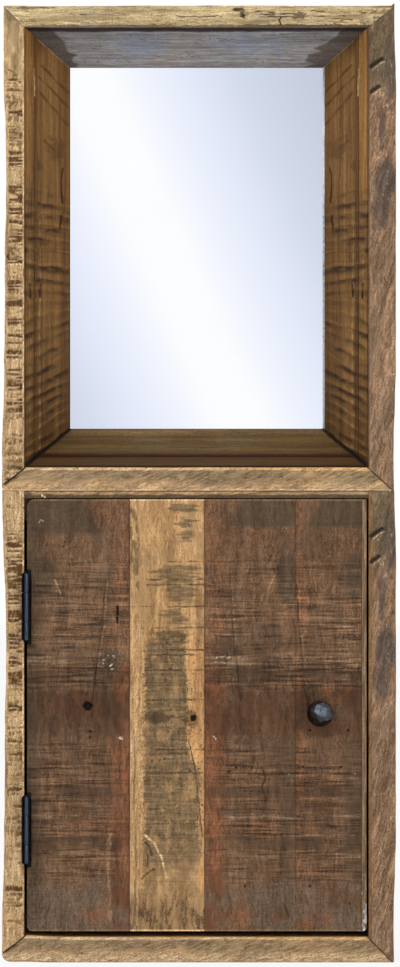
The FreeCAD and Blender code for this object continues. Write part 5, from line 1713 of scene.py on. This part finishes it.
# %% Third and fourth planks
def carve_plank_3(x, z, u):
    depth, masks = dark_plank(x, z, 190)
    path = [(22.6, -384), (24, -408), (25, -424), (27, -446), (29.6, -466), (31.8, -485)]
    crack = leaning_crack(x, z, path, 1.4, 0.45, 201)
    beside = line(x - 1.4, z, path[:4], 1.2)
    top_grey = grey_corner(x, z, -0.6, 20, 28, -354, -350, 209)
    side_grey = patch(x, z, (68, -391), (10.5, 21), 202, 0.4)
    column = low_column(x, z, 56, 64, -525, 203)
    light_flakes, dark_flakes = flaking(x, z, (17.2, -454.5), (7.5, 6), 204)
    nicks = lines(
        x, z,
        [([(64.5, -641), (68.5, -651)], 1.7), ([(51, -560), (48, -552), (50.5, -545), (47.5, -536)], 1.2)],
    )
    curled = curled_grain(x, z, (54, -369), 210)
    small = spots(x, z, [(22.6, -540), (28.2, -537), (34.9, -628)], 1.1)
    edge_noise = 7 * stray(x, z, 7, 24, 205)
    red_edge = (1 - ramp(x + edge_noise, 13, 25)) * (0.5 + 0.5 * ramp(z, -440, -500))
    knot = patch(x, z, (18, -447), (13, 10), 206)
    scratch = line(x, z, [(58, -388), (52, -403)], 1.1)
    white = spots(x, z, [(11.1, -513.2), (12.6, -514.2), (68.7, -541.7)], 0.9)
    pricks = spots(x, z, [(65, -351.5), (66.5, -352.8), (64, -353), (56, -436)], 0.9)
    dark_threads, light_threads = threads(x, z, red_edge, 211)
    bright = patch(x, z, (48, -600), (14, 11), 207) * 0.22
    low_red = patch(x, z, (38, -653), (32, 9), 208) * 0.7
    seams = strongest(1 - ramp(x, 4, 4.8), ramp(x, 73.2, 73.9) * 0.5)
    deepen(
        masks,
        dark=strongest(
            nicks * 0.8, dark_flakes * 0.8, knot * 0.4, seams * 0.5, red_edge * ramp(z, -596, -632) * 0.4,
            curled * 0.8, dark_threads,
        ),
        grey=strongest(top_grey * 0.8, side_grey * 0.85, column * 0.5),
        red=strongest(red_edge * 0.75, low_red * 0.7),
        pale=strongest(
            beside * 0.35, scratch * 0.7, bright, light_threads, red_edge * ramp(z, -470, -440) * 0.38,
        ),
        gold=strongest(light_flakes * 0.65, white * 0.7, pricks * 0.25),
        # painted shade inside the crack and nail marks
        open=strongest(crack * 0.6, small * 0.8),
    )
    masks["sawn"] = masks["sawn"] * (1 - 0.7 * red_edge)
    return depth + 0.8 * crack + small + 0.5 * nicks, masks


def carve_plank_4(x, z, u):
    depth, masks = dark_plank(x, z, 190)
    path = [(74.6, -396), (76, -423), (78.4, -450), (80.6, -476), (84, -489), (84.5, -500)]
    crack = leaning_crack(x, z, path, 1.5, 0.45, 231)
    beside = line(x - 1.5, z, path[:3], 1.3)
    top_grey = grey_corner(x, z, -0.6, 80, 90, -354, -350, 239)
    side_grey = patch(x, z, (119, -391), (8, 20), 232, 0.4)
    column = low_column(x, z, 106, 115, -520, 233)
    small = spots(x, z, [(84.9, -508), (114.1, -508), (79.5, -536.3), (108.7, -536.3), (84.9, -628)], 1.2)
    nicks = line(x, z, [(115, -641), (118, -650)], 1.7)
    curled = curled_grain(x, z, (99, -367), 241)
    rust = patch(x, z, (107, -480), (15, 10), 234)
    worn = patch(x, z, (112, -446), (8, 32), 235) * 0.28
    white = spots(x, z, [(119.5, -541.7), (119, -434), (121, -435), (78, -435.5)], 0.9)
    pricks = spots(x, z, [(116, -351.5), (117.5, -352.8), (115, -353)], 0.9)
    bright = patch(x, z, (101, -600), (10, 10), 236) * 0.22
    low_red = patch(x, z, (90, -653), (20, 9), 237) * 0.7
    shadow = patch(x, z, (92, -507), (13, 8), 238, 0.5) * 0.4
    red_edge = 1 - ramp(x + 5 * stray(x, z, 7, 24, 240), 77, 85)
    deepen(
        masks,
        dark=strongest(nicks * 0.8, shadow, curled * 0.8),
        grey=strongest(top_grey * 0.8, side_grey * 0.85, column * 0.5),
        red=strongest(rust * 0.6, low_red * 0.7, red_edge * 0.38),
        pale=strongest(beside * 0.4, worn, bright),
        gold=strongest(white * 0.5, pricks * 0.25),
        # painted shade inside the crack and nail marks
        open=strongest(crack * 0.6, small * 0.8),
    )
    return depth + 0.8 * crack + small + 0.5 * nicks, masks


lay_dark_plank(3, carve_plank_3)
lay_dark_plank(4, carve_plank_4)

# %% [markdown]
# The lipping is a thin strip on the closing edge, of plain tan wood with old blue-white paint near its foot.

# %% Lay the lipping
LIPPING_ROUNDING = 3


def worn_lipping(x, y, z):
    middle_x = LIPPING_HIGH[0] - LIPPING_ROUNDING
    x, z = rounded(x, z, middle_x, DOOR_LOW[2] + LIPPING_ROUNDING, LIPPING_ROUNDING, -1, -1)
    return x, y, z


def carve_lipping(x, z, u):
    paint = ramp(layered(x / 1.6, z / 3.5, 241) + 0.32 * ramp(z, -615, -650), 0.74, 0.95)
    darkening = cloud(x, z, 2, 14, 242, 0.5, 0.7)
    edge = 1 - ramp(u, 0.2, 0.9)
    depth = 0.2 * layered(x / 2, z / 8, 243)
    return depth, {"dark": strongest(darkening * 0.5, edge * 0.6), "pale": paint * 0.7}


lipping_timber = timber(
    "lipping_timber", "z",
    ((164, 134, 104), (143, 115, 87), (117, 91, 65)),
    {"dark": (78, 60, 42), "pale": (196, 204, 210)},
    fibre=1, seed=73,
)
lay_door_board(
    "door_edge_lipping", lipping_timber, "door_light_wood", LIPPING_LOW[0], LIPPING_HIGH[0], carve_lipping,
    0.6, worn_lipping,
)

# %% [markdown]
# Above the door shows the front edge of the panel that closes the key cupboard: a thin tan strip with a
# bright upper arris, darker below it.


# %% Panel above the door
def carve_top_panel(x, z, u):
    bright = 1 - ramp(u + 0.5 * (layered(x / 10, z, 251) - 0.5), 1.2, 2)
    # darker from just below the arris down
    darkening = ramp(u + 1.4 * stray(x, z, 8, 3, 252), 1.8, 2.8)
    first_line = 1 - ramp(u, 0.3, 0.8)
    chunk = patch(x, z, (-131.5, -326.5), (4, 2.5), 253)
    fleck = spots(x, z, [(-119, -328), (-121, -327)], 0.9)
    depth = 0.3 * layered(x / 6, z / 2, 254)
    masks = {
        "dark": strongest(darkening * 0.8, first_line * 0.5, chunk * 0.7),
        "grey": cloud(x, z, 20, 3, 255, 0.45, 0.7) * 0.6,
        "pale": strongest(bright * (1 - first_line) * 0.2, fleck),
    }
    return depth, masks


def sagging(x, y, z):
    return x, y, z - 0.8 * ramp(z, PANEL_HIGH[2], PANEL_LOW[2])


PANEL_LOW, PANEL_HIGH = node_box("lower_top_panel")
PANEL_TALL = PANEL_HIGH[2] - PANEL_LOW[2]
lay_board(
    "lower_top_panel", rail_timber,
    plain_section(PANEL_TALL, PANEL_HIGH[1] - PANEL_LOW[1]),
    PANEL_HIGH[0] - PANEL_LOW[0],
    {0: ROW},
    lying(PANEL_HIGH[2], -1, PANEL_LOW[0], PANEL_HIGH[0], PANEL_TALL, y_face=PANEL_LOW[1]),
    carve_top_panel, 0, sagging, rounding=0.5,
)

# %% [markdown]
# The knob is a ball of dark iron, hammered flat all over. A ball is cut by many planes, each a little
# inside it and facing its own way, and each cut is closed: that leaves facets of different sizes, as
# hammer blows do. Their edges are softened a little. A turned neck and a foot plate join it to the door.

# %% Hammer the knob
KNOB_LOW, KNOB_HIGH = node_box("knob")
KNOB_X = (KNOB_LOW[0] + KNOB_HIGH[0]) / 2
KNOB_Z = (KNOB_LOW[2] + KNOB_HIGH[2]) / 2
KNOB_RADIUS = 10.2
KNOB_REACH = 24  # from the door to the front of the ball
KNOB_Y = DOOR_LOW[1] - KNOB_REACH + KNOB_RADIUS
KNOB_FACETS = 64
FACET_ANGLE = 0.12  # radians beyond which the edge of a facet is softened
FACET_BEVEL = 0.22
NECK_RADIUS = 5
FOOT_RADIUS = 7
FOOT_THICKNESS = 2.5
TURNED_SIDES = 48
RIM_ANGLE = 0.9  # the same for the rim of a turned piece
RIM_BEVEL = 0.5
GOLDEN_TURN = math.pi * (3 - math.sqrt(5))


def hammer_blow(number):
    """The direction and the depth of one facet, spread evenly over the ball and then shaken."""
    jitter = [float(lattice(np.float64(number), np.float64(k), 301)) - 0.5 for k in range(4)]
    height = 1 - 2 * (number + 0.5 + 0.6 * jitter[0]) / KNOB_FACETS
    turn = number * GOLDEN_TURN + 0.35 * jitter[1]
    ring = math.sqrt(max(0, 1 - height * height))
    depth = 0.42 + 0.3 * jitter[2]
    return (ring * math.cos(turn), -height, ring * math.sin(turn)), depth


def turned_piece(bm, radius_back, radius_front, y_back, y_front):
    """A disc or cone between two distances from the wall, on the knob's axis."""
    made = bmesh.ops.create_cone(
        bm, cap_ends=True, segments=TURNED_SIDES, radius1=radius_back, radius2=radius_front,
        depth=abs(y_front - y_back),
    )
    bmesh.ops.rotate(bm, cent=(0, 0, 0), matrix=Matrix.Rotation(math.pi / 2, 3, "X"), verts=made["verts"])
    bmesh.ops.translate(bm, vec=(0, (y_back + y_front) / 2 - KNOB_Y, 0), verts=made["verts"])
    rims = [e for e in bm.edges if e.verts[0] in made["verts"] and e.calc_face_angle(0) > RIM_ANGLE]
    bmesh.ops.bevel(bm, geom=rims, offset=RIM_BEVEL, segments=3, profile=0.5, affect="EDGES", material=-1)


bm = bmesh.new()
bmesh.ops.create_icosphere(bm, subdivisions=4, radius=KNOB_RADIUS)
for number in range(KNOB_FACETS):
    direction, depth = hammer_blow(number)
    point = [part * (KNOB_RADIUS - depth) for part in direction]
    cut = bmesh.ops.bisect_plane(
        bm, geom=bm.verts[:] + bm.edges[:] + bm.faces[:], plane_co=point, plane_no=direction,
        clear_outer=True,
    )
    rim = [item for item in cut["geom_cut"] if isinstance(item, bmesh.types.BMEdge)]
    bmesh.ops.edgeloop_fill(bm, edges=rim)
bmesh.ops.dissolve_limit(bm, angle_limit=0.01, verts=bm.verts[:], edges=bm.edges[:])
blunt = [e for e in bm.edges if e.calc_face_angle(0) > FACET_ANGLE]
bmesh.ops.bevel(bm, geom=blunt, offset=FACET_BEVEL, segments=2, profile=0.5, affect="EDGES", material=-1)
turned_piece(bm, NECK_RADIUS + 0.8, NECK_RADIUS, DOOR_LOW[1] - FOOT_THICKNESS + 0.6, KNOB_Y + 7)
turned_piece(bm, FOOT_RADIUS, FOOT_RADIUS - 0.6, DOOR_LOW[1], DOOR_LOW[1] - FOOT_THICKNESS)
bmesh.ops.translate(bm, vec=(KNOB_X, KNOB_Y, KNOB_Z), verts=bm.verts[:])
bmesh.ops.scale(bm, vec=(1 / MM, 1 / MM, 1 / MM), verts=bm.verts[:])
bmesh.ops.recalc_face_normals(bm, faces=bm.faces[:])
knob_mesh = bpy.data.meshes.new("hammered_knob")
bm.to_mesh(knob_mesh)
bm.free()
add_piece(knob_mesh, "knob", "door")

# %% [markdown]
# Metals differ by their colour, by how rough they are, and by what has settled on them. One recipe mixes
# them: a base colour, a second one for tarnish in blotches, and fine scratches in the roughness. On the
# iron, light and shade are painted in: a mask on the mesh says how far each face turns towards one chosen
# side, and faces turned that way take the lighter base colour as painted light, while the rest keep the
# dark tarnish colour as painted shade.


# %% Mix the metals
def metal(name, base, tarnish, rough, amount=0.5, grain=(1, 1, 1), bump=0.15, metallic=1, rubbed=False):
    """A metal with blotches of tarnish and fine scratches along the axis that grain leaves short."""
    finish = Finish(bpy.data.materials.new(name))
    place = finish.vector("SCALE", finish.add("ShaderNodeTexCoord", out="Object"), MM)
    blotches = finish.noise(finish.vector("SCALE", place, 0.28), detail=4, roughness=0.65)
    scratches = finish.noise(finish.vector("MULTIPLY", place, grain), detail=3, roughness=0.6)
    colour = finish.mix(base, tarnish, blotches.stretched(0.42, 0.66) * amount)
    if rubbed:
        # painted light and shade: faces marked as turned towards the light keep the base colour, the others
        # take the tarnish colour
        colour = finish.mix(tarnish, colour, finish.attribute("rubbed"))
    lift = finish.add(
        "ShaderNodeBump", None,
        {"Strength": bump, "Distance": 0.0004, "Height": blotches + scratches * 0.6},
    )
    shader = finish.add(
        "ShaderNodeBsdfPrincipled",
        None,
        {
            "Base Color": colour, "Metallic": metallic,
            "Roughness": (rough - 0.08) + blotches * 0.1 + scratches * 0.08,
            "Normal": lift,
        },
    )
    finish.add("ShaderNodeOutputMaterial", None, {"Surface": shader})
    return finish.owner


hammered_iron = metal(
    "hammered_iron", tone(128, 138, 150), tone(38, 33, 28), 0.36, 0.7, bump=0.8, rubbed=True,
)
blackened_iron = metal(
    "blackened_iron", tone(70, 80, 94), tone(12, 14, 17), 0.3, 0.3, (0.9, 0.9, 0.2), rubbed=True,
)
zinc_steel = metal("zinc_steel", tone(190, 192, 194), tone(150, 148, 144), 0.34, 0.6, (3, 3, 0.15))
satin_brass = metal("satin_brass", tone(214, 178, 106), tone(150, 112, 58), 0.28, 0.5, (2, 0.3, 2))
knob_mesh.materials.append(hammered_iron)


def paint_lit_faces(mesh, low, high, spread, towards=(0, -1, 0)):
    """Fills the mask of painted light: 1 where a face looks towards one side, less for some faces than
    others, 0 where it turns away.
    """
    values = []
    for face in mesh.polygons:
        facing = float(ramp(np.dot(face.normal, towards), low, high))
        share = float(lattice(np.floor(face.normal.x * 4), np.floor(face.normal.z * 4), 311))
        values.append(facing * (1 - spread * share))
    mesh.attributes.new("rubbed", "FLOAT", "FACE").data.foreach_set("value", values)


# painted light and shade: facets turned towards the upper right front are painted light, some more than
# others, and those turned away dark
paint_lit_faces(knob_mesh, 0.2, 1.1, 0.5, (0.42, -0.72, 0.55))
print("metals:", [item.name for item in (hammered_iron, blackened_iron, zinc_steel, satin_brass)])

# %% [markdown]
# The hinges, the inner rails and the catch keep their CAD shapes, but no real edge is perfectly sharp. A
# copy of each is merged into one skin, its flat triangles are joined into faces, and its sharp edges are
# bevelled; on the hinges that also shows where one knuckle ends and the next begins.


# %% Soften the fittings
WELD = 1e-6
FLAT = 1  # degrees below which triangles are joined
BEND = 35  # and beyond which an edge is bevelled
FITTING_CREASE = 32
# the side towards which the hinges' faces are painted lit
HINGE_SHINE = (0.42, -0.9, 0.1)


def softened(node, body, width, material):
    """A copy of a CAD node with its sharp edges bevelled, in place of the node."""
    bm = bmesh.new()
    bm.from_mesh(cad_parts[node].data)
    bmesh.ops.remove_doubles(bm, verts=bm.verts[:], dist=WELD)
    bmesh.ops.dissolve_limit(bm, angle_limit=math.radians(FLAT), verts=bm.verts[:], edges=bm.edges[:])
    sharp = [e for e in bm.edges if len(e.link_faces) == 2 and e.calc_face_angle(0) > math.radians(BEND)]
    bmesh.ops.bevel(
        bm, geom=sharp, offset=width / MM, segments=2, profile=0.5, affect="EDGES", material=-1,
        clamp_overlap=True,
    )
    bmesh.ops.recalc_face_normals(bm, faces=bm.faces[:])
    mesh = bpy.data.meshes.new(node + "_softened")
    bm.to_mesh(mesh)
    bm.free()
    smooth_but_for_edges(mesh, FITTING_CREASE)
    mesh.materials.append(material)
    # painted highlight: on the hinges only faces turned towards the right front take the light base colour, a
    # lit stripe down each barrel; the rest stay near-black
    paint_lit_faces(mesh, 0.72, 1, 0, HINGE_SHINE)
    add_piece(mesh, node, body)


for level in ("upper", "lower"):
    softened(f"{level}_hinge_frame_leaf", "cabinet", 0.3, blackened_iron)
    softened(f"{level}_hinge_door_leaf", "door", 0.3, blackened_iron)
    softened(f"{level}_hinge_pin", "cabinet", 0.3, blackened_iron)

# %% [markdown]
# Inside, the rails, battens and cleats are planed softwood, and the two back panels are thin birch
# plywood. They use the timber recipe with calmer settings and no stains.

# %% Finish the inner wood
PLANED = ((222, 190, 146), (204, 170, 124), (178, 142, 98))
BIRCH = ((214, 188, 150), (198, 171, 132), (176, 148, 110))
CALM = {"fibre": 1.4, "run": 0.03, "fine": 0.8, "grit": 0.5, "weather": 0.1}
planed_level = timber("planed_level_wood", "x", PLANED, {}, **CALM, seed=81)
planed_upright = timber("planed_upright_wood", "z", PLANED, {}, **CALM, seed=83)
birch_board = timber(
    "birch_board", "z", BIRCH, {}, fibre=2.2, run=0.05, curl=4, fine=0.6, grit=0.5, weather=0.15, seed=89,
)
for node, body in (
    ("upper_key_rail", "cabinet"),
    ("lower_key_rail", "cabinet"),
    ("upper_door_batten", "door"),
    ("lower_door_batten", "door"),
):
    softened(node, body, 0.7, planed_level)


def dress(material, *nodes):
    """Gives CAD nodes that keep their shape a finish."""
    for node in nodes:
        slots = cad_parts[node].data.materials
        slots.clear()
        slots.append(material)
    print(material.name, "on", len(nodes), "nodes")


dress(planed_level, "hanging_rail", "mirror_rail", "rail_dowels", "mitre_splines")
dress(planed_upright, "left_joining_cleat", "right_joining_cleat")
dress(birch_board, "mirror_backing", "lower_back_panel")

# %% [markdown]
# Small metal parts keep their CAD shapes too: zinc-plated screws, pins and plates, black hinge screws,
# brass hooks, and a moulded brown catch with a fine grain.

# %% Finish the small parts
dress(blackened_iron, "hinge_frame_screws", "hinge_door_screws")
dress(satin_brass, "upper_key_hooks", "lower_key_hooks")
dress(
    zinc_steel, "backing_pins", "keyhole_screws", "back_panel_pins", "cleat_side_screws",
    "cleat_top_screws",
)
dress(zinc_steel, "key_rail_screws", "catch_magnet", "catch_screws", "door_batten_screws", "knob_screw")
dress(zinc_steel, "catch_strike", "catch_strike_screw", "left_keyhole_plate", "right_keyhole_plate")
moulded = metal("moulded_brown", tone(104, 78, 56), tone(84, 61, 43), 0.6, 0.6, (3, 3, 3), 0.25, 0)
softened("catch_housing", "cabinet", 0.5, moulded)

# %% [markdown]
# The mirror is glass silvered behind. As a surface it is a metal almost without colour, polished, with
# the faintest unevenness, so that it shows the pale band of the room behind the camera.

# %% Silver the mirror
silver = Finish(bpy.data.materials.new("silvered_glass"))
place = silver.vector("SCALE", silver.add("ShaderNodeTexCoord", out="Object"), MM)
haze = silver.noise(silver.vector("SCALE", place, 0.03), detail=3)
colour = silver.mix((0.985, 0.99, 0.995, 1), (0.965, 0.975, 0.99, 1), haze)
shader = silver.add(
    "ShaderNodeBsdfPrincipled",
    None,
    {"Base Color": colour, "Metallic": 1, "Roughness": 0.012 + haze * 0.02},
)
silver.add("ShaderNodeOutputMaterial", None, {"Surface": shader})
dress(silver.owner, "mirror_glass")
